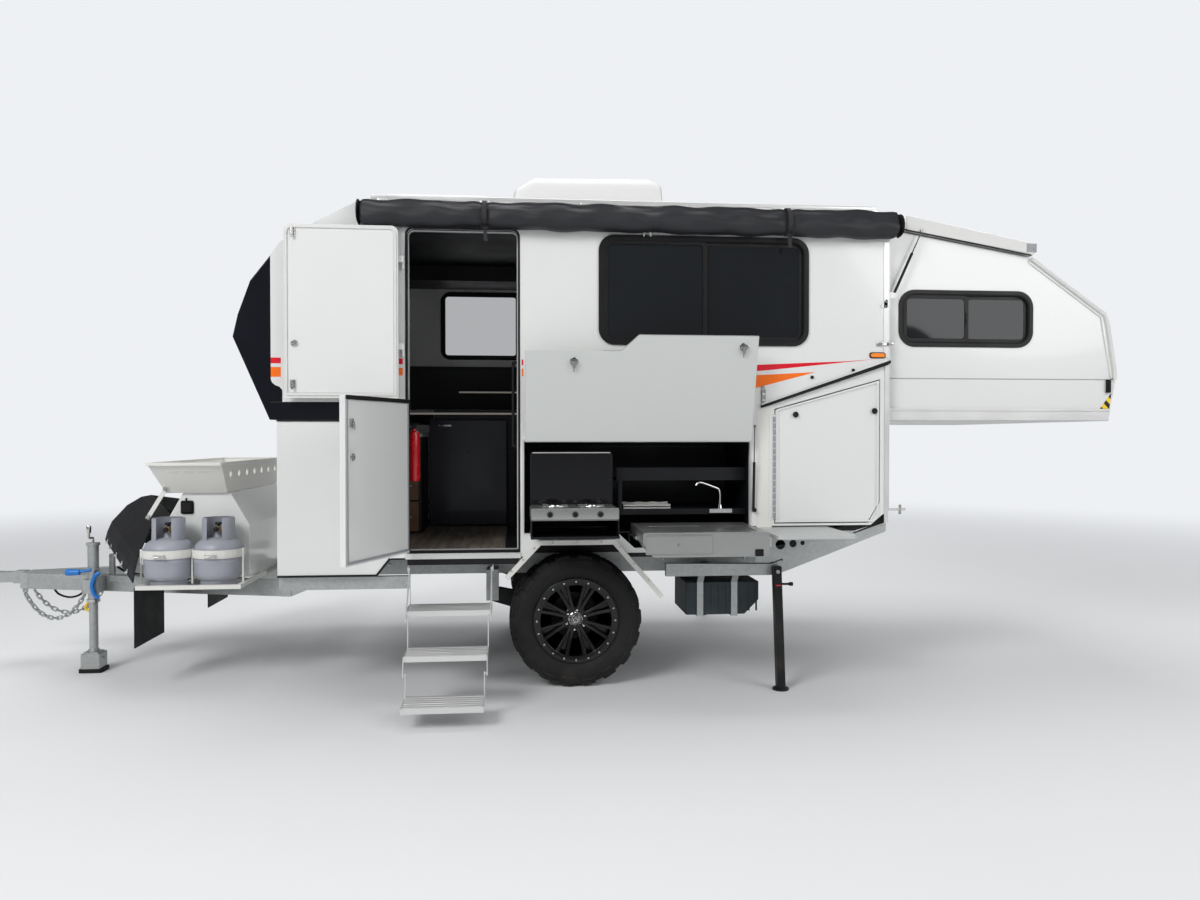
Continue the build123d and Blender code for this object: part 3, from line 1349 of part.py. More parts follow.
for name, pairs, pin_dir in strut_rows:
    with BuildPart() as tubes:
        for low, high in pairs:
            rise = (high - low).normalized()
            with BuildSketch(Plane(origin=low, x_dir=pin_dir, z_dir=rise)):
                RegularPolygon(STRUT_TUBE_R, PIN_SIDES)
            extrude(amount=STRUT_TUBE_LONG)
            with BuildSketch(Plane(origin=low + rise * (EYE_R + 12), x_dir=pin_dir, z_dir=rise)):
                RegularPolygon(STRUT_ROD_R + SEAT, PIN_SIDES, major_radius=False)
            extrude(amount=STRUT_TUBE_LONG, mode=Mode.SUBTRACT)
            with BuildSketch(Plane(origin=low, x_dir=rise, z_dir=pin_dir)):
                RegularPolygon(EYE_R, PIN_SIDES)
            extrude(amount=EYE_T / 2, both=True)
            with BuildSketch(Plane(origin=low, x_dir=rise, z_dir=pin_dir)):
                RegularPolygon(KNUCKLE_PIN + PIN_FIT, PIN_SIDES, major_radius=False)
            extrude(amount=EYE_T, both=True, mode=Mode.SUBTRACT)
    save(tubes, f"{name}_tube")
    with BuildPart() as rods:
        for low, high in pairs:
            rise = (high - low).normalized()
            with BuildSketch(Plane(origin=low + rise * STRUT_ROD_IN, x_dir=pin_dir, z_dir=rise)):
                RegularPolygon(STRUT_ROD_R, PIN_SIDES)
            extrude(amount=(high - low).length - STRUT_ROD_IN)
            with BuildSketch(Plane(origin=high, x_dir=rise, z_dir=pin_dir)):
                RegularPolygon(EYE_R, PIN_SIDES)
            extrude(amount=EYE_T / 2, both=True)
            with BuildSketch(Plane(origin=high, x_dir=rise, z_dir=pin_dir)):
                RegularPolygon(KNUCKLE_PIN + PIN_FIT, PIN_SIDES, major_radius=False)
            extrude(amount=EYE_T, both=True, mode=Mode.SUBTRACT)
    save(rods, f"{name}_rod")

# Stabiliser legs and their round feet
for side, hand in ((-1, "near"), (1, "far")):
    with BuildPart() as leg:
        with BuildSketch(cross_plane(LEG_X)):
            outline(
                (
                    (side * (LEG_Y0 - LEG_HALF), LEG_TOP + 35),
                    (side * (LEG_Y0 + LEG_HALF), LEG_TOP + 35),
                    (side * (LEG_Y1 + LEG_HALF), 12),
                    (side * (LEG_Y1 - LEG_HALF), 12),
                )
            )
        extrude(amount=LEG_HALF, both=True)
        with BuildSketch(leg_pivot_plane(side)):
            RegularPolygon(LEG_PIN_R + PIN_FIT, PIN_SIDES, major_radius=False)
        extrude(amount=60, both=True, mode=Mode.SUBTRACT)
        with BuildSketch(level_plane(0)):
            with Locations((LEG_X, side * LEG_Y1)):
                RegularPolygon(50, 20)
        extrude(amount=FOOT_T)
    save(leg, f"stabiliser_{hand}")

# Steps: three treads that flip onto each other, hung from pins under the sill
step_rows = (
    ("step_top", 0, STEP_TOP, STEP_OUT, 0.0),
    ("step_mid", 1, STEP_TOP - STEP_RISE, STEP_OUT + STEP_RUN, DROP_A),
    ("step_low", 2, STEP_TOP - STEP_RISE - STEP_LAST, STEP_OUT + 2 * STEP_RUN, DROP_B),
)
for name, order, top, out, drop in step_rows:
    half = STEP_HALF - order * 2 * (PLATE_T + 1)
    front = -HALF_W - out
    back = front + STEP_DEEP
    with BuildPart() as step:
        with BuildSketch(cross_plane(STEP_X)):
            block(front, back, top - STEP_T, top)
        extrude(amount=half - PLATE_T, both=True)
        for end in (-1, 1):
            with BuildSketch(cross_plane(STEP_X + end * half)):
                block(front, back, top - STEP_T, top)
                if order == 0:
                    outline(
                        (
                            (front, top - STEP_T),
                            (back, top - STEP_T),
                            (-HALF_W - HANG_OUT + 12, HANG_Z + 12),
                            (-HALF_W - HANG_OUT - 12, HANG_Z + 12),
                            (front, top),
                        )
                    )
                    outline(
                        (
                            (front + 30, top + 6),
                            (back - 14, top + 6),
                            (-HALF_W - HANG_OUT + 2, HANG_Z - 40),
                        ),
                        mode=Mode.SUBTRACT,
                    )
                    with Locations((-HALF_W - HANG_OUT, HANG_Z)):
                        pin_hole(STEP_PIN_R)
                else:
                    pivot_z = top + (STEP_RISE if order == 1 else STEP_LAST) - drop
                    pivot_y = front + STEP_RUN - PIVOT_FWD
                    outline(
                        (
                            (pivot_y + 11, pivot_z + 12),
                            (pivot_y - 11, pivot_z + 12),
                            (back - 30, top - STEP_T),
                            (back, top - STEP_T),
                        )
                    )
                    with Locations((pivot_y, pivot_z)):
                        pin_hole(STEP_PIN_R)
                if order < 2:
                    next_z = top - (DROP_A if order == 0 else DROP_B)
                    outline(
                        (
                            (front - PIVOT_FWD - 11, next_z - 12),
                            (front - PIVOT_FWD + 11, next_z - 12),
                            (front + 30, top - STEP_T + 4),
                            (front, top),
                            (front - PIVOT_FWD - 11, next_z + 12),
                        )
                    )
            extrude(amount=-end * PLATE_T)
            if order < 2:
                with BuildSketch(cross_plane(STEP_X + end * half)):
                    with Locations((front - PIVOT_FWD, next_z)):
                        pin_face(STEP_PIN_R)
                extrude(amount=-end * (2 * PLATE_T + 10))
    save(step, name)

# Cabin inside: floor boards, bench on the far side, overhead lockers
with BuildPart() as boards:
    with BuildSketch(level_plane(FLOOR_TOP)):
        block(LOW_FRONT + WALL + 2, -440, -HALF_W + WALL + 60, 400)
    extrude(amount=8)
save(boards, "floor_boards")
with BuildPart() as bench:
    with BuildSketch(level_plane(FLOOR_TOP)):
        block(-1000, -350, 420, HALF_W - WALL - 4)
    extrude(amount=900)
    with BuildSketch(side_plane(HALF_W - WALL - SEAT)):
        outline(((-1250, 2935), (100, 2935), (100, 2860), (-1250, 2860)))
    extrude(amount=300)
save(bench, "cabin_furniture")

# Roof fittings: air conditioner, hatch, awning bag
with BuildPart() as cooler:
    with BuildSketch(side_plane(0)):
        with BuildLine():
            Polyline((-404, 3150), (-370, 3290), (-250, 3365), (560, 3380), (650, 3345), (665, 3150))
            Line((665, 3150), (-404, 3150))
        make_face()
    extrude(amount=350, both=True)
    with BuildSketch(level_plane(ROOF_Z)):
        block(-330, 600, -330, 330)
    extrude(amount=175)
save(cooler, "air_conditioner")
with BuildPart() as vent:
    with BuildSketch(level_plane(ROOF_Z)):
        block(-1290, -500, -600, 600)
    extrude(amount=190, taper=18)
save(vent, "roof_hatch")
AWN_X0 = -1303.0
AWN_X1 = 2026.0
with BuildPart() as awning:
    for behind, low in ((AWN_X0, 2828), (AWN_X1, 2806)):
        with BuildSketch(cross_plane(behind)):
            outline(
                (
                    (-HALF_W, ROOF_Z - 3),
                    (-HALF_W - 62, ROOF_Z - 3),
                    (-HALF_W - 112, 2935),
                    (-HALF_W - 124, 2890),
                    (-HALF_W - 84, low + 6),
                    (-HALF_W, low),
                )
            )
    loft()
save(awning, "awning_bag")
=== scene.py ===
import math

import bmesh
import bpy
import numpy as np
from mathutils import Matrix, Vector


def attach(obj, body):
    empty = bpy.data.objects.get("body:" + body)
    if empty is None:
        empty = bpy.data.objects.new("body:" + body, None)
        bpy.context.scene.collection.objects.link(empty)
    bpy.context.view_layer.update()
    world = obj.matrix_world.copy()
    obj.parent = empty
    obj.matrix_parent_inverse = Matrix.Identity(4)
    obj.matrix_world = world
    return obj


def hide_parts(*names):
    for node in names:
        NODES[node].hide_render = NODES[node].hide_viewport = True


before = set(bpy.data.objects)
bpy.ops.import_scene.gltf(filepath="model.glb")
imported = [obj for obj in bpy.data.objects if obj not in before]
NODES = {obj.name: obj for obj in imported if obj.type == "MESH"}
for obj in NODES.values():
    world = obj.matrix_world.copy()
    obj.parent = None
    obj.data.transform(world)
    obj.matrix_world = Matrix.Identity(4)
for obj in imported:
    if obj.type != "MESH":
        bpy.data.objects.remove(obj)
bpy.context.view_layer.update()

# Sizes below are in millimetres: along the trailer from the axle (rear is +), out from the
# middle (camp side is -) and up from the ground. The frame's zero is the coupling's pin socket.
HITCH_TO_AXLE = 3950.0
HITCH_HEIGHT = 590.0
WALL_OUT = 1100.0  # outer faces of the walls, the rear pod and the locker doors, and the roof's top
POD_OUT = 1030.0
LOCKER_OUT = 1112.0
ROOF_TOP = 2975.0
ACROSS = (0, 1, 0)


# ---------------------------------------------------------------- shapes
def skin(rows, round_rows=False, round_cols=False, caps=False):
    """Faces over a table of points: rows[i, j] with its three neighbours is one face; caps close both ends."""
    high, wide = rows.shape[:2]
    ids = np.arange(high * wide).reshape(high, wide)
    ends = [ids[0].tolist()[::-1], ids[-1].tolist()]
    if round_rows:
        ids = np.vstack([ids, ids[:1]])
    if round_cols:
        ids = np.hstack([ids, ids[:, :1]])
    quads = np.stack([ids[:-1, :-1], ids[:-1, 1:], ids[1:, 1:], ids[1:, :-1]], -1).reshape(-1, 4)
    faces = quads.tolist()
    if caps:
        faces += ends
    return rows.reshape(-1, 3).astype(float), faces


def joined(*shapes):
    """Several shapes as one: the points are stacked and each shape's faces count on from the last."""
    points, faces, count = [], [], 0
    for some, of_them in shapes:
        points.append(some)
        faces += [[n + count for n in face] for face in of_them]
        count += len(some)
    return np.vstack(points), faces


def shifted(shape, along=0.0, out=0.0, up=0.0):
    """The same shape, with one step added to every point."""
    return shape[0] + np.array([along, out, up]), shape[1]


def flipped(shape):
    """The far-side twin: every point's distance out changes sign, and each face runs the other way."""
    return shape[0] * np.array([1.0, -1.0, 1.0]), [face[::-1] for face in shape[1]]


def both_sides(shape):
    """The shape and its far-side twin."""
    return joined(shape, flipped(shape))


def swung(shape, centre, axis, degrees):
    """The shape turned about a line through centre: the two other axes mix by the angle's sine and cosine."""
    a, b = {"x": (1, 2), "y": (2, 0), "z": (0, 1)}[axis]
    turn = math.radians(degrees)
    from_centre = shape[0] - np.array(centre, float)
    moved = from_centre.copy()
    moved[:, a] = from_centre[:, a] * math.cos(turn) - from_centre[:, b] * math.sin(turn)
    moved[:, b] = from_centre[:, a] * math.sin(turn) + from_centre[:, b] * math.cos(turn)
    return moved + np.array(centre, float), shape[1]


def unit(vectors):
    """Each vector over its own length."""
    return vectors / np.maximum(np.linalg.norm(vectors, axis=-1, keepdims=True), 1e-9)


def run_along(points):
    """How far each point of a line lies from its start, along the line."""
    return np.concatenate([[0], np.cumsum(np.linalg.norm(np.diff(points, axis=0), axis=1))])


def softened(corners, radius, steps=6):
    """An outline whose corners are arcs: the arc's centre is radius / sin(half angle) along the corner's
    bisector, and its points turn from the one side's tangent point to the other's."""
    p = np.array(corners, float)
    r = np.maximum(np.broadcast_to(np.asarray(radius, float), (len(p),)), 0.01)[:, None]
    u, v = unit(np.roll(p, 1, 0) - p), unit(np.roll(p, -1, 0) - p)
    half = np.arccos(np.clip((u * v).sum(1), -1, 1))[:, None] / 2
    centre = p + unit(u + v) * r / np.sin(half)
    first = unit(p + u * r / np.tan(half) - centre)
    last = unit(p + v * r / np.tan(half) - centre)
    other = unit(last - (last * first).sum(1, keepdims=True) * first)
    turn = (np.linspace(0, 1, steps)[None, :] * (math.pi - 2 * half))[:, :, None]
    arcs = centre[:, None] + r[:, None] * (np.cos(turn) * first[:, None] + np.sin(turn) * other[:, None])
    return arcs.reshape(-1, 2)


def oblong(low_a, low_b, high_a, high_b):
    """A rectangle's four corners."""
    return [(low_a, low_b), (high_a, low_b), (high_a, high_b), (low_a, high_b)]


def box_line(low_a, low_b, high_a, high_b, radius=0.0, steps=6):
    """The outline of a rectangle with rounded corners."""
    return softened(oblong(low_a, low_b, high_a, high_b), radius, steps)


def ring_line(radius, sides=24, start=0.0):
    """Points round a circle: radius times the cosine and sine of even turns."""
    turn = start + np.arange(sides) * 2 * math.pi / sides
    return radius * np.stack([np.cos(turn), np.sin(turn)], 1)


PLANES = {"x": (1, 2, 0), "y": (0, 2, 1), "z": (0, 1, 2)}


def laid(outline, plane, level):
    """A flat outline as points in space, at one level of the plane's own axis."""
    a, b, c = PLANES[plane]
    points = np.zeros((len(outline), 3))
    points[:, a], points[:, b], points[:, c] = outline[:, 0], outline[:, 1], level
    return points


def slab(outline, plane, low, high):
    """A plate: the outline at two levels, with the rim between them and a cap on each."""
    outline = np.asarray(outline, float)
    return skin(np.stack([laid(outline, plane, low), laid(outline, plane, high)]), round_cols=True, caps=True)


def frame_slab(outer, inner, plane, low, high):
    """A plate with an opening: four loops, outer low and high, inner high and low, joined in a ring."""
    loops = [laid(outer, plane, low), laid(outer, plane, high), laid(inner, plane, high),
        laid(inner, plane, low)]
    return skin(np.stack(loops), round_rows=True, round_cols=True)


def plate(corners, plane, low, high):
    """A rounded rectangle between two levels; its corners come with the radius, and steps if not six."""
    return slab(box_line(*corners), plane, low, high)


def rim_plate(corners, inset, radii, plane, low, high, steps=6):
    """A plate between two rounded rectangles, the inner one smaller by inset on every side."""
    a0, b0, a1, b1 = corners
    inner = box_line(a0 + inset, b0 + inset, a1 - inset, b1 - inset, radii[1], steps)
    return frame_slab(box_line(a0, b0, a1, b1, radii[0], steps), inner, plane, low, high)


def wall_plate(outline, proud):
    """A plate on the camp-side wall, standing proud of it by so much."""
    return slab(outline, "y", -WALL_OUT, -WALL_OUT - proud)


def brick(x0, x1, y0, y1, z0, z1, radius=0.0):
    """A squared block, its upright edges rounded by radius."""
    return plate((x0, y0, x1, y1, radius, 4 if radius else 1), "z", z0, z1)


def turned(profile, centre, axis, sides=32):
    """A turned part: each (radius, along) of the profile goes round the axis through centre."""
    profile = np.asarray(profile, float)
    a, b, c = PLANES[axis]
    turn = np.arange(sides) * 2 * math.pi / sides
    rows = np.zeros((len(profile), sides, 3))
    rows[:, :, a] = centre[a] + profile[:, :1] * np.cos(turn)
    rows[:, :, b] = centre[b] + profile[:, :1] * np.sin(turn)
    rows[:, :, c] = centre[c] + profile[:, 1:2]
    return skin(rows, round_cols=True, caps=profile[0, 0] > 0 or profile[-1, 0] > 0)


def cupped(rows):
    """Rings skinned one after the other, with one face over the last of them."""
    points, faces = skin(rows, round_cols=True)
    return points, faces + [list(range(len(points) - rows.shape[1], len(points)))]


def carried(path, outline, up=(0, 0, 1), closed=False, size=None):
    """A profile carried along a path: at each point it stands across the path's direction, its second
    number pointing as near to up as that allows, times the size there."""
    path, outline = np.asarray(path, float), np.asarray(outline, float)
    if closed:
        ahead = unit(np.roll(path, -1, 0) - np.roll(path, 1, 0))
    else:
        ahead = unit(np.gradient(path, axis=0))
    side = unit(np.cross(ahead, np.asarray(up, float)))
    top = np.cross(side, ahead)
    size = np.ones(len(path)) if size is None else np.asarray(size, float)
    flat = outline[None, :, :1] * side[:, None] + outline[None, :, 1:2] * top[:, None]
    return skin(path[:, None] + size[:, None, None] * flat, round_rows=closed, round_cols=True, caps=not closed)


def eased(points, steps=8, closed=False):
    """A smooth path through points: between two of them, a cubic whose slope at each is half the step
    between that point's neighbours."""
    p = np.array(points, float)
    if closed:
        p = np.vstack([p[-1:], p, p[:2]])
    else:
        p = np.vstack([2 * p[0] - p[1], p, 2 * p[-1] - p[-2]])
    t = np.linspace(0, 1, steps, endpoint=False)[None, :, None]
    a, b, c, d = p[:-3, None], p[1:-2, None], p[2:-1, None], p[3:, None]
    line = b + t * (c - a) / 2 + t**2 * (a - 2.5 * b + 2 * c - d / 2) + t**3 * (1.5 * (b - c) + (d - a) / 2)
    line = line.reshape(-1, 3)
    return line if closed else np.vstack([line, p[-2:-1]])


def rod(start, end, radius, sides=12):
    """A straight round bar between two points."""
    start, end = np.array(start, float), np.array(end, float)
    up = (0, 0, 1) if abs(unit(end - start)[2]) < 0.9 else (1, 0, 0)
    return carried(np.stack([start, end]), ring_line(radius, sides), up)


def bent_bar(points, radius, sides=12, steps=6, up=(0, 0, 1)):
    """A round bar bent along a smooth path."""
    return carried(eased(points, steps), ring_line(radius, sides), up)


def screws(places, axis, radius, depth):
    """A fastener's head at each place: a short turned shape with an eased rim, its outer face a depth away."""
    profile = [(0, depth), (radius * 0.7, depth), (radius, depth * 0.55),
        (radius, -0.5 * math.copysign(1, depth))]
    return joined(*[turned(profile, place, axis, 6) for place in places])


# ---------------------------------------------------------------- finishes
def plug(tree, socket, value):
    """Joins a socket to another node's output, or else gives it the value."""
    if isinstance(value, bpy.types.NodeSocket):
        tree.links.new(value, socket)
    else:
        socket.default_value = value


def put(tree, kind, settings=None, **inputs):
    """Adds a shader node; each named input gets a value, or is joined to another node's output."""
    made = tree.nodes.new("ShaderNode" + kind)
    for name, value in (settings or {}).items():
        setattr(made, name, value)
    for name, value in inputs.items():
        plug(tree, made.inputs[name.replace("_", " ")], value)
    return made


def sums(tree, kind, first, second=0.0, third=0.0):
    """One arithmetic node on values."""
    made = tree.nodes.new("ShaderNodeMath")
    made.operation = kind
    for socket, value in zip(made.inputs, (first, second, third)):
        plug(tree, socket, value)
    return made.outputs[0]


def between(tree, mask, first, second):
    """A colour that goes from first to second as the mask goes from 0 to 1."""
    made = tree.nodes.new("ShaderNodeMix")
    made.data_type = "RGBA"
    for number, value in ((0, mask), (6, first), (7, second)):
        plug(tree, made.inputs[number], value)
    return made.outputs[2]


def ramp(tree, value, low, high, to_low=0.0, to_high=1.0):
    """A value stretched from low..high to to_low..to_high and held at both ends, with an eased middle."""
    made = put(tree, "MapRange", {"interpolation_type": "SMOOTHSTEP"}, Value=value)
    for name, number in (("From Min", low), ("From Max", high), ("To Min", to_low), ("To Max", to_high)):
        plug(tree, made.inputs[name], number)
    return made.outputs["Result"]


def effect(name, takes, gives):
    """An empty shared effect with its named inputs and outputs."""
    tree = bpy.data.node_groups.new(name, "ShaderNodeTree")
    for label, (kind, value) in takes.items():
        tree.interface.new_socket(name=label, in_out="INPUT",
            socket_type="NodeSocket" + kind).default_value = value
    for label, kind in gives.items():
        tree.interface.new_socket(name=label, in_out="OUTPUT", socket_type="NodeSocket" + kind)
    return tree, tree.nodes.new("NodeGroupInput").outputs, tree.nodes.new("NodeGroupOutput").inputs


def own_place(tree):
    """Where a point lies in its piece's own space."""
    return put(tree, "TexCoord").outputs["Object"]


def axes_of(tree):
    """The same place, axis by axis."""
    return put(tree, "SeparateXYZ", Vector=own_place(tree)).outputs


def place_noise(tree, size, detail=4.0, stretch=None):
    """Noise over the piece's own space, stretched where asked."""
    spot = own_place(tree)
    if stretch is not None:
        spot = put(tree, "Mapping", Vector=spot, Scale=stretch).outputs[0]
    return put(tree, "TexNoise", Vector=spot, Scale=size, Detail=detail, Roughness=0.55).outputs["Fac"]


def make_uneven():
    """Slow cloudy change of a colour: noise at Size makes it up to Amount lighter or darker."""
    tree, takes, gives = effect("uneven_colour", {"Colour": ("Color", (1, 1, 1, 1)), "Size": ("Float", 3.0),
                                "Amount": ("Float", 0.06)}, {"Colour": "Color", "Mask": "Float"})
    cloud = place_noise(tree, takes["Size"])
    shade = sums(tree, "MULTIPLY_ADD", sums(tree, "SUBTRACT", cloud, 0.5),
        sums(tree, "MULTIPLY", takes["Amount"], 2), 1)
    made = put(tree, "HueSaturation", Color=takes["Colour"], Value=shade)
    tree.links.new(made.outputs[0], gives["Colour"])
    tree.links.new(cloud, gives["Mask"])
    return tree


def make_dust():
    """Road dust: a mask that is full at Low, gone at High, and broken up by noise, laid over a colour."""
    tree, takes, gives = effect("road_dust", {"Colour": ("Color", (1, 1, 1, 1)),
            "Dust": ("Color", (0.32, 0.25, 0.18, 1)), "Low": ("Float", -0.6), "High": ("Float", 0.2),
            "Amount": ("Float", 0.4)}, {"Colour": "Color", "Mask": "Float"})
    height = axes_of(tree)["Z"]
    fall = ramp(tree, height, takes["Low"], takes["High"], 1.0, 0.0)
    broken = ramp(tree, place_noise(tree, 9.0, 6.0), 0.35, 0.7)
    fine = ramp(tree, place_noise(tree, 70.0, 3.0), 0.2, 0.8, 0.5, 1.0)
    mask = sums(tree, "MULTIPLY", sums(tree, "MULTIPLY", fall, broken),
        sums(tree, "MULTIPLY", fine, takes["Amount"]))
    tree.links.new(between(tree, mask, takes["Colour"], takes["Dust"]), gives["Colour"])
    tree.links.new(mask, gives["Mask"])
    return tree


def make_grain():
    """Fine relief: noise at Size and at a sixth of it, summed, stretched by Stretch along each axis."""
    tree, takes, gives = effect("fine_relief", {"Size": ("Float", 400.0), "Stretch": ("Vector", (1, 1, 1))},
                                {"Height": "Float"})
    fine = place_noise(tree, takes["Size"], 2.0, takes["Stretch"])
    coarse = place_noise(tree, sums(tree, "DIVIDE", takes["Size"], 6.0), 3.0, takes["Stretch"])
    tree.links.new(sums(tree, "MULTIPLY_ADD", coarse, 0.6, fine), gives["Height"])
    return tree


def make_spangle():
    """Zinc crystals: each cell of a cell pattern has its own grey, softened by noise."""
    tree, takes, gives = effect("zinc_spangle", {"Size": ("Float", 60.0),
            "Light": ("Color", (0.52, 0.54, 0.53, 1)), "Dark": ("Color", (0.38, 0.4, 0.4, 1))},
        {"Colour": "Color", "Mask": "Float"})
    spot = own_place(tree)
    cells = put(tree, "TexVoronoi", Vector=spot, Scale=takes["Size"]).outputs["Color"]
    grey = put(tree, "SeparateColor", Color=cells).outputs[0]
    cloud = place_noise(tree, 12.0, 5.0)
    mask = sums(tree, "MULTIPLY_ADD", grey, 0.45, sums(tree, "MULTIPLY", cloud, 0.6))
    tree.links.new(between(tree, mask, takes["Dark"], takes["Light"]), gives["Colour"])
    tree.links.new(mask, gives["Mask"])
    return tree


def make_scuffs():
    """Hair scratches: two stretched noises, kept only where they peak."""
    tree, takes, gives = effect("hair_scratches", {"Amount": ("Float", 0.3)}, {"Mask": "Float"})
    one = ramp(tree, place_noise(tree, 90.0, 2.0, (1.0, 1.0, 0.04)), 0.62, 0.7)
    two = ramp(tree, place_noise(tree, 110.0, 2.0, (0.05, 1.0, 1.0)), 0.63, 0.7)
    tree.links.new(sums(tree, "MULTIPLY", sums(tree, "MAXIMUM", one, two), takes["Amount"]), gives["Mask"])
    return tree


EFFECTS = {"uneven": make_uneven(), "dust": make_dust(), "grain": make_grain(), "spangle": make_spangle(),
           "scuffs": make_scuffs()}
FINISHES = {}
COAT_ROUGH = 0.06  # the same clear coat on every finish that has one


def new_paint(name):
    """An empty material with its node tree and its main shader's inputs."""
    made = bpy.data.materials.new(name)
    made.use_nodes = True
    return made, made.node_tree, made.node_tree.nodes["Principled BSDF"].inputs


def fill(tree, inputs, values):
    """Plugs each named value, or other node's output, into its input."""
    for name, value in values.items():
        plug(tree, inputs[name], value)


def use(tree, name, **inputs):
    """Places a shared effect in a finish, with its own values."""
    made = tree.nodes.new("ShaderNodeGroup")
    made.node_tree = EFFECTS[name]
    fill(tree, made.inputs, inputs)
    return made.outputs


def finish(name, colour, rough, metal=0.0, uneven=(3.0, 0.05), spread=0.06, grain=(420.0, 0.02),
        stretch=(1, 1, 1), dust=0.0, dust_top=0.25, coat=0.0, scuffs=0.0, shine=0.5, extra=None):
    """A finish: cloudy colour, dust towards the ground, roughness that follows both, and fine relief."""
    made, tree, inputs = new_paint(name)
    tint = (*colour, 1.0)
    if extra is not None:
        tint = extra(tree, tint)
    cloudy = use(tree, "uneven", Colour=tint, Size=uneven[0], Amount=uneven[1])
    shown, roughness = cloudy["Colour"], ramp(tree, cloudy["Mask"], 0.25, 0.75, rough - spread, rough + spread)
    if scuffs:
        marks = use(tree, "scuffs", Amount=scuffs)["Mask"]
        roughness = sums(tree, "ADD", roughness, marks)
    if dust:
        dusty = use(tree, "dust", Colour=shown, High=dust_top, Amount=dust)
        shown, roughness = dusty["Colour"], sums(tree, "MULTIPLY_ADD", dusty["Mask"], 0.5, roughness)
    height = use(tree, "grain", Size=grain[0], Stretch=stretch)["Height"]
    bump = put(tree, "Bump", Height=height, Strength=grain[1], Distance=0.002)
    fill(tree, inputs, {"Base Color": shown, "Roughness": roughness, "Metallic": metal,
                        "Specular IOR Level": shine, "Coat Weight": coat, "Coat Roughness": COAT_ROUGH,
                        "Normal": bump.outputs[0]})
    FINISHES[name] = made


def from_middle(tree, value, pitch):
    """How far a value lies from the middle of its own repeat, in repeats."""
    part = sums(tree, "FRACT", sums(tree, "DIVIDE", value, pitch))
    return sums(tree, "ABSOLUTE", sums(tree, "SUBTRACT", part, 0.5))


def zinc(tree, _tint):
    """Crystals on hot-dipped steel, in place of one colour."""
    return use(tree, "spangle", Size=55.0)["Colour"]


def boards(tree, _tint):
    """Grey-brown floor boards, 140 wide, running across: a dark joint line and stretched grain in each."""
    joint = ramp(tree, from_middle(tree, axes_of(tree)["X"], 0.14), 0.482, 0.494)
    veins = place_noise(tree, 26.0, 6.0, (1.0, 0.08, 1.0))
    wood = between(tree, ramp(tree, veins, 0.3, 0.7), (0.13, 0.1, 0.085, 1), (0.3, 0.25, 0.2, 1))
    return between(tree, joint, wood, (0.02, 0.018, 0.015, 1))


def make_glass():
    """Dark tinted acrylic: mostly a black gloss, a little see-through, and a clearer copy for the far side."""
    made, tree, inputs = new_paint("window_glass")
    cloudy = use(tree, "uneven", Colour=(0.012, 0.014, 0.016, 1), Size=1.5, Amount=0.2)
    wave = put(tree, "Bump", Height=place_noise(tree, 2.2, 2.0), Strength=0.12, Distance=0.02)
    fill(tree, inputs, {"Base Color": cloudy["Colour"],
            "Roughness": ramp(tree, cloudy["Mask"], 0.2, 0.8, 0.02, 0.05), "Normal": wave.outputs[0],
            "IOR": 1.49, "Specular IOR Level": 0.35, "Coat Weight": 0.15, "Coat Roughness": 0.02, "Alpha": 0.9})
    FINISHES["window_glass"] = made
    clear = made.copy()
    clear.name = "far_pane"
    clear.node_tree.nodes["Principled BSDF"].inputs["Alpha"].default_value = 0.3
    FINISHES["far_pane"] = clear


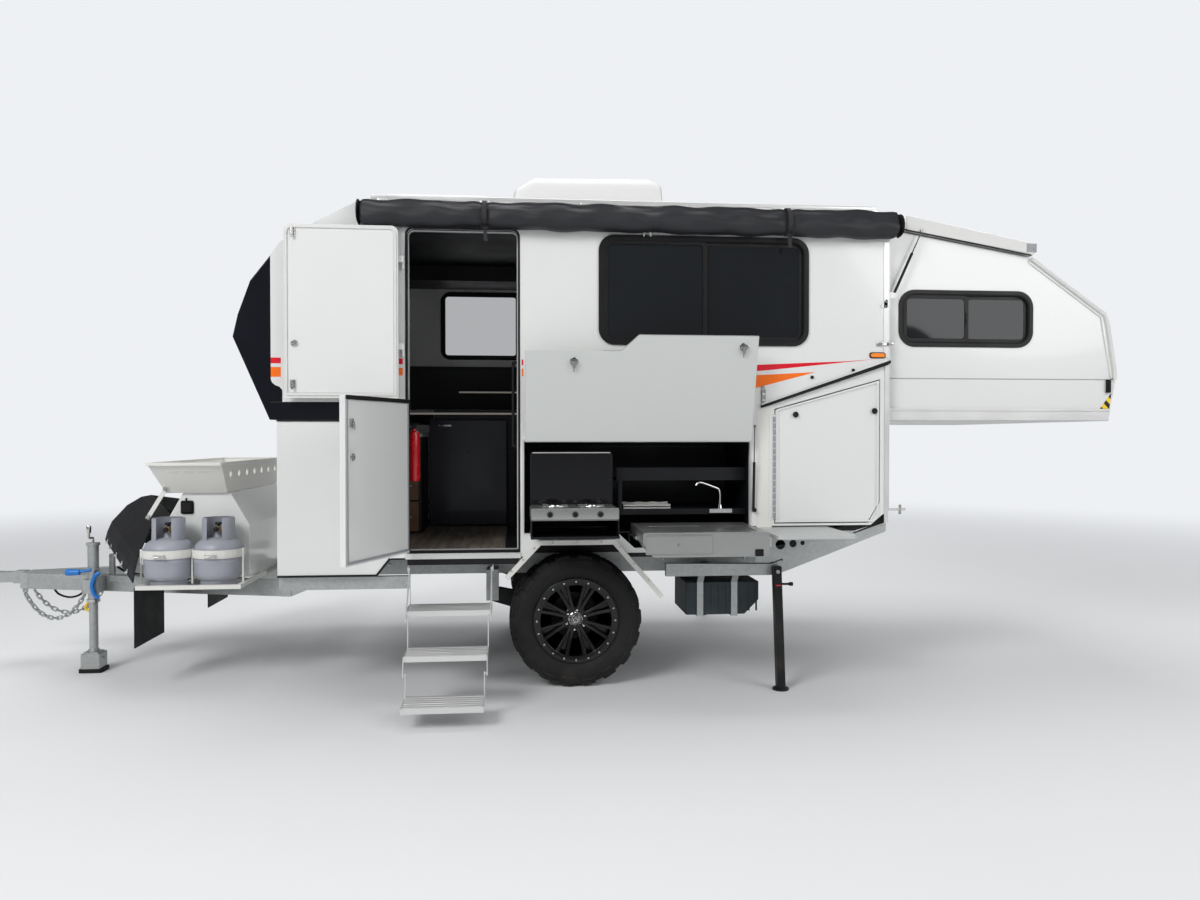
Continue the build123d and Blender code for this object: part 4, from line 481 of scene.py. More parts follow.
def make_finishes():
    """Every finish of the trailer by name. The slots' own names come first."""
    finish("tyre", (0.009, 0.009, 0.0095), 0.7, grain=(160.0, 0.25), uneven=(6, 0.2), dust=0.05, dust_top=0.1,
        shine=0.3)
    finish("rim_black", (0.004, 0.004, 0.0045), 0.25, uneven=(5, 0.1), coat=0.2, shine=0.3, dust=0.03,
        dust_top=0.1, grain=(500.0, 0.05))
    finish("chassis_black", (0.007, 0.007, 0.008), 0.45, dust=0.1, grain=(600.0, 0.14), shine=0.3)
    finish("rubber", (0.009, 0.009, 0.01), 0.7, shine=0.3, grain=(300.0, 0.16), uneven=(8, 0.12))
    finish("galvanised", (0.43, 0.45, 0.45), 0.46, metal=0.7, uneven=(2.5, 0.05), grain=(200.0, 0.03),
        dust=0.12, extra=zinc)
    finish("powder_cream", (0.72, 0.715, 0.675), 0.42, uneven=(3, 0.05), grain=(700.0, 0.16), dust=0.3,
        dust_top=0.1)
    finish("bottle_grey", (0.33, 0.34, 0.385), 0.4, uneven=(7, 0.12), grain=(260.0, 0.1), dust=0.16, scuffs=0.2)
    finish("white_paint", (0.74, 0.745, 0.73), 0.2, uneven=(1.2, 0.02), grain=(90.0, 0.008), coat=0.5,
        dust=0.06, dust_top=0.7)
    finish("nose_black", (0.004, 0.005, 0.009), 0.14, uneven=(2, 0.1), grain=(80.0, 0.01), coat=0.15, dust=0.02,
        shine=0.35)
    finish("liner_black", (0.006, 0.0065, 0.009), 0.45, grain=(500.0, 0.1), uneven=(5, 0.15), shine=0.3)
    finish("stainless", (0.4, 0.41, 0.4), 0.34, metal=0.85, grain=(900.0, 0.03), stretch=(0.03, 1, 1),
        uneven=(2.5, 0.03), spread=0.03, scuffs=0.06)
    finish("trim_aluminium", (0.74, 0.74, 0.73), 0.34, metal=0.6, grain=(900.0, 0.06), stretch=(0.04, 1, 1),
        uneven=(4, 0.06))
    finish("table_grey", (0.5, 0.52, 0.51), 0.36, metal=0.2, grain=(700.0, 0.12), uneven=(3, 0.05))
    finish("tank_grey", (0.022, 0.034, 0.04), 0.5, grain=(240.0, 0.2), uneven=(4, 0.14), dust=0.15, shine=0.35)
    finish("floor_timber", (0.2, 0.16, 0.13), 0.4, grain=(160.0, 0.18), stretch=(1, 0.1, 1), extra=boards)
    finish("cabin_charcoal", (0.02, 0.021, 0.026), 0.5, shine=0.35, grain=(360.0, 0.14), uneven=(3, 0.12))
    finish("white_plastic", (0.72, 0.72, 0.71), 0.34, uneven=(2, 0.03), grain=(520.0, 0.06), coat=0.1)
    finish("awning_vinyl", (0.017, 0.0175, 0.021), 0.46, shine=0.4, grain=(850.0, 0.4), uneven=(5, 0.16))
    make_glass()
    finish("stripe_red", (0.72, 0.004, 0.02), 0.22, grain=(300.0, 0.01), coat=0.5, uneven=(4, 0.03))
    finish("stripe_orange", (0.95, 0.17, 0.006), 0.22, grain=(300.0, 0.01), coat=0.5, uneven=(4, 0.03))
    finish("chrome", (0.8, 0.8, 0.8), 0.1, metal=1.0, grain=(200.0, 0.01), uneven=(8, 0.04), spread=0.03)
    finish("dark_chrome", (0.28, 0.28, 0.28), 0.22, metal=1.0, grain=(400.0, 0.04), uneven=(20, 0.1))
    finish("zinc_bolt", (0.6, 0.6, 0.58), 0.28, metal=1.0, grain=(500.0, 0.06), uneven=(30, 0.12))
    finish("hatch_grey", (0.56, 0.575, 0.56), 0.3, spread=0.01, uneven=(1.6, 0.008), grain=(120.0, 0.02),
        coat=0.25)
    finish("lever_blue", (0.01, 0.17, 0.55), 0.35, grain=(400.0, 0.1), uneven=(9, 0.1))
    finish("hook_yellow", (0.85, 0.55, 0.02), 0.4, grain=(400.0, 0.1), uneven=(9, 0.1))
    finish("alarm_red", (0.55, 0.005, 0.01), 0.3, grain=(400.0, 0.05), uneven=(6, 0.08), coat=0.3)
    finish("lamp_orange", (0.95, 0.25, 0.01), 0.16, grain=(240.0, 0.3), uneven=(20, 0.1), coat=0.6)
    finish("lamp_red", (0.6, 0.005, 0.008), 0.16, grain=(240.0, 0.3), uneven=(20, 0.1), coat=0.6)
    finish("lining_pale", (0.5, 0.5, 0.48), 0.6, grain=(500.0, 0.1), uneven=(3, 0.06))
    finish("drawer_timber", (0.23, 0.13, 0.07), 0.4, grain=(120.0, 0.15), stretch=(0.1, 1, 1),
        uneven=(14, 0.25))
    finish("frame_black", (0.006, 0.006, 0.007), 0.4, shine=0.35, grain=(420.0, 0.1), uneven=(6, 0.12))
    finish("seal_white", (0.66, 0.66, 0.64), 0.45, grain=(420.0, 0.06), uneven=(4, 0.04))
    finish("seal_grey", (0.3, 0.31, 0.33), 0.5, grain=(420.0, 0.06), uneven=(4, 0.04))
    finish("flecked_cap", (0.02, 0.02, 0.022), 0.3, coat=0.7, grain=(300.0, 0.05), extra=flecks)
    finish("enamel_black", (0.005, 0.005, 0.007), 0.12, coat=0.3, shine=0.35, grain=(120.0, 0.012),
        uneven=(6, 0.1), spread=0.03)
    finish("webbing_black", (0.02, 0.02, 0.022), 0.75, grain=(900.0, 0.6), stretch=(1, 1, 0.3),
        uneven=(20, 0.2))
    finish("hazard_bands", (0.9, 0.62, 0.01), 0.3, grain=(400.0, 0.02), coat=0.3, extra=slanted_bands)
    finish("solar_cells", (0.01, 0.014, 0.04), 0.12, coat=0.9, grain=(300.0, 0.01), spread=0.03,
        extra=cell_grid)
    finish("brass", (0.62, 0.42, 0.16), 0.3, metal=1.0, grain=(400.0, 0.08), uneven=(20, 0.12))
    finish("fridge_navy", (0.012, 0.016, 0.035), 0.32, grain=(500.0, 0.05), uneven=(3, 0.1), coat=0.2)
    finish("lit_strip", (0.4, 0.4, 0.39), 0.5, grain=(200.0, 0.02), uneven=(9, 0.03))
    glow = FINISHES["lit_strip"].node_tree
    fill(glow, glow.nodes["Principled BSDF"].inputs,
        {"Emission Color": (1.0, 0.93, 0.8, 1), "Emission Strength": 0.12})


def slanted_bands(tree, tint):
    """Yellow and black bands, 37 wide, leaning forward."""
    parts = axes_of(tree)
    along = sums(tree, "MULTIPLY_ADD", parts["Z"], 1.0, parts["X"])
    part = from_middle(tree, along, 0.075)
    return between(tree, ramp(tree, part, 0.24, 0.26), tint, (0.01, 0.01, 0.01, 1))


def cell_grid(tree, tint):
    """Dark cells, 156 square, with fine pale lines between them and thin bars across each."""
    parts = axes_of(tree)
    lines = []
    for axis, pitch, fine in (("X", 0.156, 0.49), ("Y", 0.156, 0.49), ("Y", 0.052, 0.487)):
        part = from_middle(tree, parts[axis], pitch)
        lines.append(ramp(tree, part, fine, fine + 0.004))
    mask = sums(tree, "MAXIMUM", lines[0], sums(tree, "MAXIMUM", lines[1], lines[2]))
    return between(tree, sums(tree, "MULTIPLY", mask, 0.5), tint, (0.45, 0.47, 0.5, 1))


def flecks(tree, tint):
    """Silver flecks in black: small cells whose own grey is high."""
    spot = own_place(tree)
    cells = put(tree, "SeparateColor",
        Color=put(tree, "TexVoronoi", Vector=spot, Scale=320.0).outputs["Color"]).outputs[0]
    return between(tree, ramp(tree, cells, 0.78, 0.84), tint, (0.6, 0.6, 0.6, 1))


make_finishes()
for node in NODES.values():
    for held in node.material_slots:
        held.material = FINISHES[held.material.name.split(".")[0]]


# ---------------------------------------------------------------- pieces
def in_frame(points):
    """Points in the frame's metres: the zero moves from the axle's ground point to the coupling."""
    return (points + np.array([HITCH_TO_AXLE, 0.0, -HITCH_HEIGHT])) / 1000.0


def ease_edges(held, width, crease):
    """Rounds the edges that are sharper than the crease angle, by a width in millimetres."""
    edge = held.modifiers.new("eased_edge", "BEVEL")
    edge.width, edge.segments = width / 1000.0, 2
    edge.limit_method, edge.angle_limit = "ANGLE", math.radians(crease)
    edge.harden_normals = True


def place_in_scene(name, data):
    """A new object in the scene's own collection."""
    made = bpy.data.objects.new(name, data)
    bpy.context.scene.collection.objects.link(made)
    return made


def piece(name, shape, look, body="trailer", twin=False, bevel=0.0, crease=32.0, replaces=()):
    """Puts a shape, or a list of them, into the scene, with its far-side twin where asked. Points that meet
    are merged, faces turn outwards, and edges sharper than the crease angle stay sharp or get a small bevel."""
    if isinstance(shape, list):
        shape = joined(*shape)
    if twin:
        shape = both_sides(shape)
    points = in_frame(shape[0])
    mesh = bpy.data.meshes.new(name)
    mesh.from_pydata(points.tolist(), [], shape[1])
    work = bmesh.new()
    work.from_mesh(mesh)
    bmesh.ops.remove_doubles(work, verts=work.verts, dist=2e-5)
    bmesh.ops.recalc_face_normals(work, faces=work.faces)
    work.to_mesh(mesh)
    work.free()
    mesh.shade_smooth()
    mesh.set_sharp_from_angle(angle=math.radians(crease))
    made = place_in_scene(name, mesh)
    mesh.materials.append(FINISHES[look])
    if bevel:
        ease_edges(made, bevel, crease)
    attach(made, body)
    if replaces:
        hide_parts(*replaces)
    return made


SIDES = (("near", lambda shape: shape), ("far", flipped))


# ---------------------------------------------------------------- wheels
TYRE_R = 415.0
TREAD_DEEP = 12.0
TREAD_PITCHES = 18  # blocks round each row of the tread
WHEEL_OUT = 905.0
HUB_SPOT = (0.0, -WHEEL_OUT, TYRE_R)


def eased_step(value, low, high):
    """0 below low and 1 above high, with 3t^2 - 2t^3 between them."""
    t = np.clip((value - low) / (high - low), 0, 1)
    return t * t * (3 - 2 * t)


def block_row(turns, stagger, slant, across, filled):
    """Tread blocks round a row: 1 where the fraction of turns + stagger + slant * across is below filled."""
    part = np.mod(turns + stagger + slant * across, 1.0)
    return eased_step(part, 0.0, 0.07) * (1 - eased_step(part, filled, filled + 0.07))


def tyre_shape():
    """A tyre: the section (radius, across) goes round in even turns, and each point moves out along the
    section's own normal by the tread's height there: two middle rows of slanted blocks, a shoulder row,
    and side lugs that run down the wall, with two fine ridges round it."""
    section = np.array([(264, -103), (270, -116), (296, -131), (326, -137), (352, -135), (376, -127),
            (392, -115), (400, -102), (402.5, -84), (403, -40), (403, 0)], float)
    section = np.vstack([section, section[-2::-1] * (1, -1)])
    run = run_along(section)
    at = np.linspace(0, run[-1], 92)
    radius, across = np.interp(at, run, section[:, 0]), np.interp(at, run, section[:, 1])
    slope = np.stack([np.gradient(radius), np.gradient(across)], 1)
    normal = unit(np.stack([slope[:, 1], -slope[:, 0]], 1))
    turn = np.linspace(0, 2 * math.pi, 640, endpoint=False)[:, None]
    turns, off = turn * TREAD_PITCHES / (2 * math.pi), np.abs(across)[None, :]
    side = np.sign(across)[None, :] * 0.25
    middle = block_row(turns, side, 0.006, across[None, :], 0.66)
    middle = middle * eased_step(off, 5, 8) * (1 - eased_step(off, 48, 51))
    pinned = block_row(turns, 0.5 + side, -0.004, across[None, :], 0.3) * (1 - eased_step(off, 12, 15))
    shoulder = block_row(turns, 0.5 + side, 0.0, across[None, :], 0.62) * eased_step(off, 58, 61)
    lug_low = np.where(np.mod(np.floor(turns + 0.5 + side), 2) > 0, 352.0, 368.0)
    shoulder = shoulder * eased_step(radius[None, :], lug_low, lug_low + 6)
    height = TREAD_DEEP * np.maximum(np.maximum(middle, 0.9 * pinned), shoulder)
    height = np.where(radius[None, :] < 392, np.minimum(height, 5.0), height)
    for ridge, foot, crest in ((318, -3, -1.4), (338, -2.4, -1)):
        height = height + 1.2 * eased_step(-np.abs(radius - ridge)[None, :], foot, crest)
    out = radius[None, :] + height * normal[None, :, 0]
    wide = across[None, :] + height * normal[None, :, 1]
    rows = np.stack([HUB_SPOT[0] + out * np.cos(turn), HUB_SPOT[1] + wide, HUB_SPOT[2] + out * np.sin(turn)],
        -1)
    return joined(skin(rows, round_rows=True), skin(rows[:, [0, -1]], round_rows=True))


def round_hub(profile, sides=64):
    """A part turned about the wheel's axle: along is how far it stands out from the wheel's middle."""
    flat = np.asarray(profile, float) * (1, -1)
    return turned(flat, HUB_SPOT, "y", sides)


def spoke_shape():
    """One of eight spokes: a pair of bars that part towards the ring, each a tapering section carried out
    from the hub while it rises, and a lower web between them."""
    bars = []
    for side in (-1, 1):
        reach = np.linspace(0, 1, 9)
        r = 58 + 172 * reach
        path = np.stack([r, -WHEEL_OUT - 54 - 30 * reach**1.6, TYRE_R + side * (9 + 25 * reach**1.3)], 1)
        section = np.array([(-12, -22), (12, -22), (12, 5), (8, 10), (-8, 10), (-12, 5)], float)
        bars.append(carried(path, section, up=(0, -1, 0), size=1.15 - 0.2 * np.sin(reach * math.pi)))
    web = slab([(70, TYRE_R - 8), (226, TYRE_R - 28), (226, TYRE_R + 28), (70, TYRE_R + 8)], "y",
        -WHEEL_OUT - 40, -WHEEL_OUT - 24)
    return joined(*bars, web)


def round_places(radius, count, out, start=0.0):
    """Places round the wheel's axle, at even turns."""
    ring = ring_line(radius, count, start)
    return np.stack([ring[:, 0], np.full(count, -WHEEL_OUT - out), TYRE_R + ring[:, 1]], 1)


def make_wheels():
    """Mud tyres on deep black alloys with a bolted ring, six chrome nuts and a flecked cap."""
    rubber_part = tyre_shape()
    barrel = round_hub([(240, -107), (262, -107), (262, -60), (246, -40), (244, 60), (250, 90), (262, 100),
            (262, 107), (268, 110), (268, 116), (264, 119), (228, 119), (222, 116), (222, 104), (232, 92),
            (234, -40), (236, -107)], 96)
    face = joined(round_hub([(0, 62), (74, 62), (80, 58), (80, 30), (60, 20), (0, 20)], 48),
                  *[swung(spoke_shape(), HUB_SPOT, "y", 45 * n + 22.5) for n in range(8)])
    ring_bolts = screws(round_places(245, 20, 119), "y", 7.5, -6.5)
    nuts = joined(*[turned([(0, -27), (6, -26), (10, -20), (11, -16), (12, 0)], spot, "y", 6)
            for spot in round_places(62, 6, 62, 0.4)])
    cap = round_hub([(0, 92), (26, 91), (34, 86), (37, 78), (38, 60)], 40)
    dish = joined(round_hub([(38.5, 64), (41, 66), (44, 64), (44, 60)], 40),
        round_hub([(12, 91.5), (13, 93), (15, 93), (16, 91)], 24))
    for hand, twin in SIDES:
        body = "wheel_" + hand
        piece("mud_tyre_" + hand, twin(rubber_part), "tyre", body, crease=28, replaces=("tyre_" + hand,))
        piece("alloy_" + hand, twin(joined(barrel, face)), "rim_black", body, crease=30, bevel=1.6,
            replaces=("rim_" + hand,))
        piece("ring_bolts_" + hand, twin(ring_bolts), "zinc_bolt", body)
        piece("wheel_nuts_" + hand, twin(nuts), "chrome", body, bevel=0.6)
        piece("hub_cap_" + hand, twin(cap), "flecked_cap", body, crease=40)
        piece("cap_rings_" + hand, twin(dish), "chrome", body, crease=40)


# ---------------------------------------------------------------- windows
def window_set(name, body, x0, x1, z0, z1, radius, level, thick, sign):
    """A sliding window: an outer flange, a rubber bead, two sashes that pass in the middle, and the panes."""
    def out(depth):
        return level + sign * depth

    rim = rim_plate((x0 - 16, z0 - 16, x1 + 16, z1 + 16), 26, (radius + 12, radius - 12), "y", level,
        out(thick), 10)
    bead = rim_plate((x0 + 9, z0 + 9, x1 - 9, z1 - 9), 8, (radius - 11, radius - 18), "y", out(-14),
        out(thick - 3), 10)
    middle = (x0 + x1) / 2
    sashes = joined(frame_slab(box_line(x0 + 18, z0 + 18, middle + 15, z1 - 18, 34, 8),
            box_line(x0 + 40, z0 + 40, middle - 11, z1 - 40, 26, 8), "y", out(-12), out(thick - 5)),
        frame_slab(box_line(middle - 15, z0 + 18, x1 - 18, z1 - 18, 34, 8),
            box_line(middle + 11, z0 + 40, x1 - 40, z1 - 40, 26, 8), "y", out(-20), out(-11)))
    panes = joined(plate((x0 + 36, z0 + 36, middle - 6, z1 - 36, 28, 8), "y", out(-6), out(-1)),
                   plate((middle + 6, z0 + 36, x1 - 36, z1 - 36, 28, 8), "y", out(-18), out(-13)))
    catch = brick(middle - 5, middle + 5, *sorted((out(-2), out(thick + 2))), (z0 + z1) / 2 - 40,
        (z0 + z1) / 2 + 40, 2)
    piece(name + "_flange", rim, "frame_black", body, bevel=2.5)
    piece(name + "_bead", bead, "rubber", body, bevel=1.0)
    piece(name + "_sashes", [sashes, catch], "frame_black", body, bevel=1.2)
    piece(name + "_panes", panes, "far_pane" if name == "far_window" else "window_glass", body)


def make_windows():
    """Long side windows in the walls and a low one in each side of the rear pod."""
    window_set("camp_window", "trailer", 149, 1437, 2142, 2783, 85, -WALL_OUT, 12, -1)
    window_set("far_window", "trailer", -1000, 290, 2210, 2783, 85, WALL_OUT, 12, 1)
    for hand, sign in (("near", -1), ("far", 1)):
        window_set("pod_window_" + hand, "rear_pod", 2084, 2957, 2154, 2488, 92, sign * POD_OUT, 8, sign)
    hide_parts("side_windows")
    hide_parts("pod_windows")


# ---------------------------------------------------------------- awning bag
# the bag's ends along the wall, and the middle of its section as (out, up)
BAG_X0, BAG_X1 = -1300.0, 2022.0
BAG_MIDDLE = np.array([58.0, 2900.0])
STRAPS_AT = np.array([-557.0, 1302.0])
FARTHEST = 0.014  # metres that the settling bag may move


def bag_section(drop):
    """The bag's section as (out, up), let down by drop: flat at the wall, a rounded belly and a lip below."""
    return np.array([(2, 2968), (30, 2971), (60, 2968), (92, 2952), (112, 2928), (122, 2898), (122, 2872),
            (110, 2850), (88, 2836), (60, 2828), (30, 2826), (4, 2830), (2, 2860), (2, 2900), (2, 2935)],
        float) - np.array([0, drop])


def bag_outline():
    """The same section as 44 points, evenly spaced round it."""
    base = bag_section(0.0)
    looped = np.vstack([base, base[:1]])
    run = run_along(looped)
    at = np.linspace(0, run[-1], 44, endpoint=False)
    return np.stack([np.interp(at, run, looped[:, 0]), np.interp(at, run, looped[:, 1])], 1)


def make_awning():
    """The rolled awning in its vinyl bag. The section goes along the wall, its belly swelling between the
    straps by a slow wave and creasing by short slanted waves; then gravity and the roll inside settle it."""
    along = np.linspace(0, 1, 300)
    x = BAG_X0 + (BAG_X1 - BAG_X0) * along
    section = bag_outline()
    free = eased_step(section[:, 0], 8, 46)[None, :]
    belly = (1 - eased_step(section[:, 1], 2930, 2966))[None, :]
    pinch = np.exp(-((x[:, None, None] - STRAPS_AT[None, None, :]) / 40.0) ** 2).sum(-1)
    wide, high = x[:, None], section[None, :, 1]
    creases = (np.sin(wide / 61 + high / 17) + 0.7 * np.sin(wide / 37 - high / 23 + 1.3)
               + 0.5 * np.sin(wide / 143 + 2.0))
    swell = 1 + free * (0.055 * creases * (1 - pinch) - 0.13 * pinch)
    ends = np.sqrt(np.clip(1 - (np.abs(along - 0.5) * 2) ** 60, 0.02, 1))[:, None]
    flat = BAG_MIDDLE + (section[None] - BAG_MIDDLE) * (swell * (0.55 + 0.45 * ends))[:, :, None]
    sag = (4 + 16 * along[:, None]) * belly * free
    rows = np.stack([np.broadcast_to(x[:, None], flat.shape[:2]), -WALL_OUT - np.maximum(flat[:, :, 0], 1.5),
            flat[:, :, 1] - sag], -1)
    bag = piece("awning_cover", skin(rows, round_cols=True, caps=True), "awning_vinyl", crease=180,
        replaces=("awning_bag",))
    settle_bag(bag)


def make_bag_fittings():
    """The bag's straps with their hanging ends and buckles, the two pulls, the rail and the end caps."""
    bands = []
    section = bag_outline()
    for spot in STRAPS_AT:
        loop = section + unit(section - BAG_MIDDLE) * 2.5
        loop = loop[section[:, 0] > 6]
        sag = 4 + 16 * (spot - BAG_X0) / (BAG_X1 - BAG_X0)
        loop[:, 1] -= sag * np.interp(loop[:, 1], [2930, 2966], [1, 0])
        path = np.stack([np.full(len(loop), spot), -WALL_OUT - loop[:, 0], loop[:, 1]], 1)
        bands.append(ribbon(path, 26.0, 2.2))
        hang = eased([(spot + 4, -1176, 2826), (spot + 5, -1186, 2795), (spot + 4, -1182, 2760),
                (spot + 9, -1185, 2726)], 6)
        bands.append(ribbon(hang, 22.0, 2.0))
    piece("awning_straps", bands, "webbing_black", crease=60)
    piece("strap_buckles",
        [rim_plate((spot - 19, 2792, spot + 27, 2822), 7, (5, 3), "y", -1192, -1184) for spot in STRAPS_AT],
        "frame_black", bevel=1.0)
    piece("awning_pulls", [
            ribbon(eased([(x, -1142, 2834), (x, -1146, 2812), (x + off, -1142, 2784)], 5), 7.0, 2.0)
            for x, off in ((410, -4), (446, 3))], "lining_pale", crease=60)
    piece("awning_rail",
        carried([(BAG_X0 - 2, -1108, 2973), (BAG_X1 + 2, -1108, 2973)], box_line(-11, -9, 9, 1.6, 3)),
        "trim_aluminium", bevel=0.8)
    piece("awning_ends", [slab(softened(bag_section(2 if spot < 0 else 16) * (-1, 1) + (-WALL_OUT, 0), 8, 3),
                "x", spot, spot + 5) for spot in (BAG_X0 - 3, BAG_X1 - 2)], "rubber", bevel=1.0)


def ribbon(path, wide, thick):
    """A strap over a curve that lies across the trailer: the path is widened along the trailer by half the
    strap's width each way, and doubled by its thickness along the curve's normal."""
    path = np.asarray(path, float)
    ahead = unit(np.gradient(path, axis=0))
    normal = unit(np.cross(ahead, np.array([1.0, 0, 0])))
    corners = [(-wide / 2, 0), (wide / 2, 0), (wide / 2, thick), (-wide / 2, thick)]
    rows = np.stack([path + a * np.array([1.0, 0, 0]) + b * normal for a, b in corners], 1)
    return skin(rows, round_cols=True, caps=True)


def settle_bag(bag):
    """Lets the vinyl settle: its wall side and top rail are held, gravity pulls and a light inner push fills
    it, and no point ends farther than FARTHEST from where it began."""
    mesh = bag.data
    count = len(mesh.vertices)
    start = np.empty(count * 3)
    mesh.vertices.foreach_get("co", start)
    start = start.reshape(-1, 3)
    wall, top = -WALL_OUT / 1000, (2962 - HITCH_HEIGHT) / 1000
    held = bag.vertex_groups.new(name="held")
    fixed = (start[:, 1] > wall - 0.012) | (start[:, 2] > top)
    held.add(np.flatnonzero(fixed).tolist(), 1.0, "REPLACE")
    cloth = bag.modifiers.new("cloth", "CLOTH")
    rules = cloth.settings
    rules.quality, rules.mass, rules.air_damping = 5, 0.35, 2.0
    rules.tension_stiffness = rules.compression_stiffness = 12.0
    rules.shear_stiffness, rules.bending_stiffness = 4.0, 0.2
    rules.vertex_group_mass = "held"
    rules.use_pressure, rules.uniform_pressure_force = True, 1.2
    scene = bpy.context.scene
    for number in range(1, 19):
        scene.frame_set(number)
    settled = bag.evaluated_get(bpy.context.evaluated_depsgraph_get()).to_mesh()
    end = np.empty(count * 3)
    settled.vertices.foreach_get("co", end)
    bag.modifiers.remove(cloth)
    scene.frame_set(1)
    move = end.reshape(-1, 3) - start
    far = np.linalg.norm(move, axis=1, keepdims=True)
    move = move * np.minimum(1, FARTHEST / np.maximum(far, 1e-9))
    result = start + move
    result[:, 1] = np.minimum(result[:, 1], wall - 0.001)
    mesh.vertices.foreach_set("co", result.ravel())
    mesh.update()


# ---------------------------------------------------------------- entry doors and kitchen hatch
# a point on each hinge line
DOOR_AXIS = (-1042.0, -1122.0, 0.0)
HATCH_AXIS = (0.0, -1120.0, 1537.0)


def round_lock(x, z, level, sign, radius=21.0):
    """A round turn lock: a flanged bezel, a sunk face and a raised thumb bar, standing out by sign."""
    spot = (x, level, z)
    bezel = turned([(radius * 0.62, sign * 3), (radius * 0.7, sign * 8), (radius * 0.92, sign * 8),
            (radius, sign * 5), (radius, 0)], spot, "y", 28)
    face = turned([(0, sign * 4), (radius * 0.66, sign * 4), (radius * 0.66, 0)], spot, "y", 28)
    bar = brick(x - radius * 0.16, x + radius * 0.16, *sorted((level + sign * 2, level + sign * 13)),
        z - radius * 0.55, z + radius * 0.55, 2)
    return joined(bezel, face, bar)


def make_doors():
    """Both leaves: drawn shut, then swung to where the CAD leaves stand. A rubber lip, an inner pan, locks
    and levers."""
    inner = -1070.0
    for name, z0, z1, open_by, top_r in (("door_upper", 1789.0, 2811.0, -180.0, 40.0),
            ("door_lower", 869.0, 1783.0, -113.5, 6.0)):

        def leaf(label, shape, look, bevel):
            shape = joined(*shape) if isinstance(shape, list) else shape
            piece(label, swung(shape, DOOR_AXIS, "z", open_by), look, name, bevel=bevel)

        lip_r, pan_r, upper = max(top_r - 12, 4), max(top_r - 16, 8), name == "door_upper"
        lock_z = z0 + 320 if upper else z1 - 330
        radii = ((8, 8, top_r, top_r), (6, 6, lip_r, lip_r))
        lip = rim_plate((-1010, z0 + 14, -369, z1 - 14), 12, radii, "y", inner, inner + 7)
        pan = slab(box_line(-992, z0 + 32, -387, z1 - 32, (10, 10, pan_r, pan_r)), "y", inner, inner + 2.2)
        leaf(name + "_lip", lip, "seal_white" if upper else "seal_grey", 1.5)
        if not upper:
            leaf("door_lower_edge", joined(brick(-1013, -367, inner - 28, inner + 9, z1 - 24, z1 - 1, 3),
                    brick(-1014, -1002, inner, inner + 9, z0 + 14, z1 - 24, 3)), "rubber", 1.5)
        leaf(name + "_pan", pan, "white_paint", 1.0)
        levers = []
        for z in ((z0 + 82, z1 - 50) if upper else (z1 - 150,)):
            levers.append(joined(brick(-428, -398, inner + 2, inner + 12, z - 24, z + 24, 4),
                    rod((-413, inner + 12, z), (-413, inner + 22, z), 5),
                    brick(-420, -406, inner + 18, inner + 24, z - 34, z + 8, 3)))
        levers.append(round_lock(-421, lock_z, inner + 2.2, 1))
        leaf(name + "_catches", levers, "zinc_bolt", 0.8)
        leaf(name + "_outer_lock", round_lock(-418, lock_z, -1104, -1, 24), "zinc_bolt", 0.8)


def make_door_frame():
    """Rubber round the entry, an aluminium jamb inside it, the sill and the grab handle."""
    outer, middle, inner = (4, 4, 48, 48), (3, 3, 36, 36), (3, 3, 30, 30)
    piece("entry_seal", rim_plate((-1033, 858, -346, 2822), 12, (outer, middle), "y", -1097, -1103.5, 8),
        "rubber", bevel=1.5)
    piece("entry_jamb", rim_plate((-1021, 870, -358, 2810), 7, (middle, inner), "y", -1040, -1062, 8),
        "trim_aluminium", bevel=1.0)
    piece("entry_sill",
        [brick(-1036, -343, -1108, -1097, 822, 856, 3), brick(-1036, -343, -1112, -1097, 850, 857, 2)],
        "trim_aluminium", bevel=1.5)
    piece("grab_handle", bent_bar([(-362, -1026, 1500), (-384, -1006, 1506), (-388, -1000, 1540),
                (-388, -1000, 1980), (-384, -1006, 2014), (-362, -1026, 2020)], 9, 12, 5, up=ACROSS), "rubber",
        crease=60)


def make_hatch():
    """The kitchen hatch's inner skin, and two T-handle locks with their keys. All is drawn shut and then
    swung to where the CAD hatch stands."""
    inner = -1076.0

    def turn(shape):
        return swung(shape, HATCH_AXIS, "x", -165.0)

    piece("hatch_inner_skin", turn(slab(
                softened([(-314, 1527), (-314, 980), (251, 980), (356, 884), (1071, 884), (1071, 1527)], 6),
                "y", inner, inner + 1.6)), "hatch_grey", "kitchen_hatch", bevel=0.8)
    locks = []
    for x, z in ((-30, 1040), (985, 945)):
        key = np.array([(-11, 6), (11, 6), (9, 34), (3, 40), (2, 62), (-4, 62), (-5, 40), (-9, 34)]) + (x, z)
        locks += [turned([(0, 6), (20, 6), (25, 3), (25, 0)], (x, inner, z), "y", 32),
                  rod((x, inner + 5, z), (x, inner + 22, z), 6),
                  brick(x - 26, x + 26, inner + 16, inner + 25, z - 6, z + 6, 3),
                  slab(softened(key, 3, 3), "y", inner + 18, inner + 21),
                  turned([(0, -8), (22, -8), (27, -4), (27, 0)], (x, -1104, z), "y", 32)]
    piece("hatch_locks", turn(joined(*locks)), "dark_chrome", "kitchen_hatch", bevel=0.8)


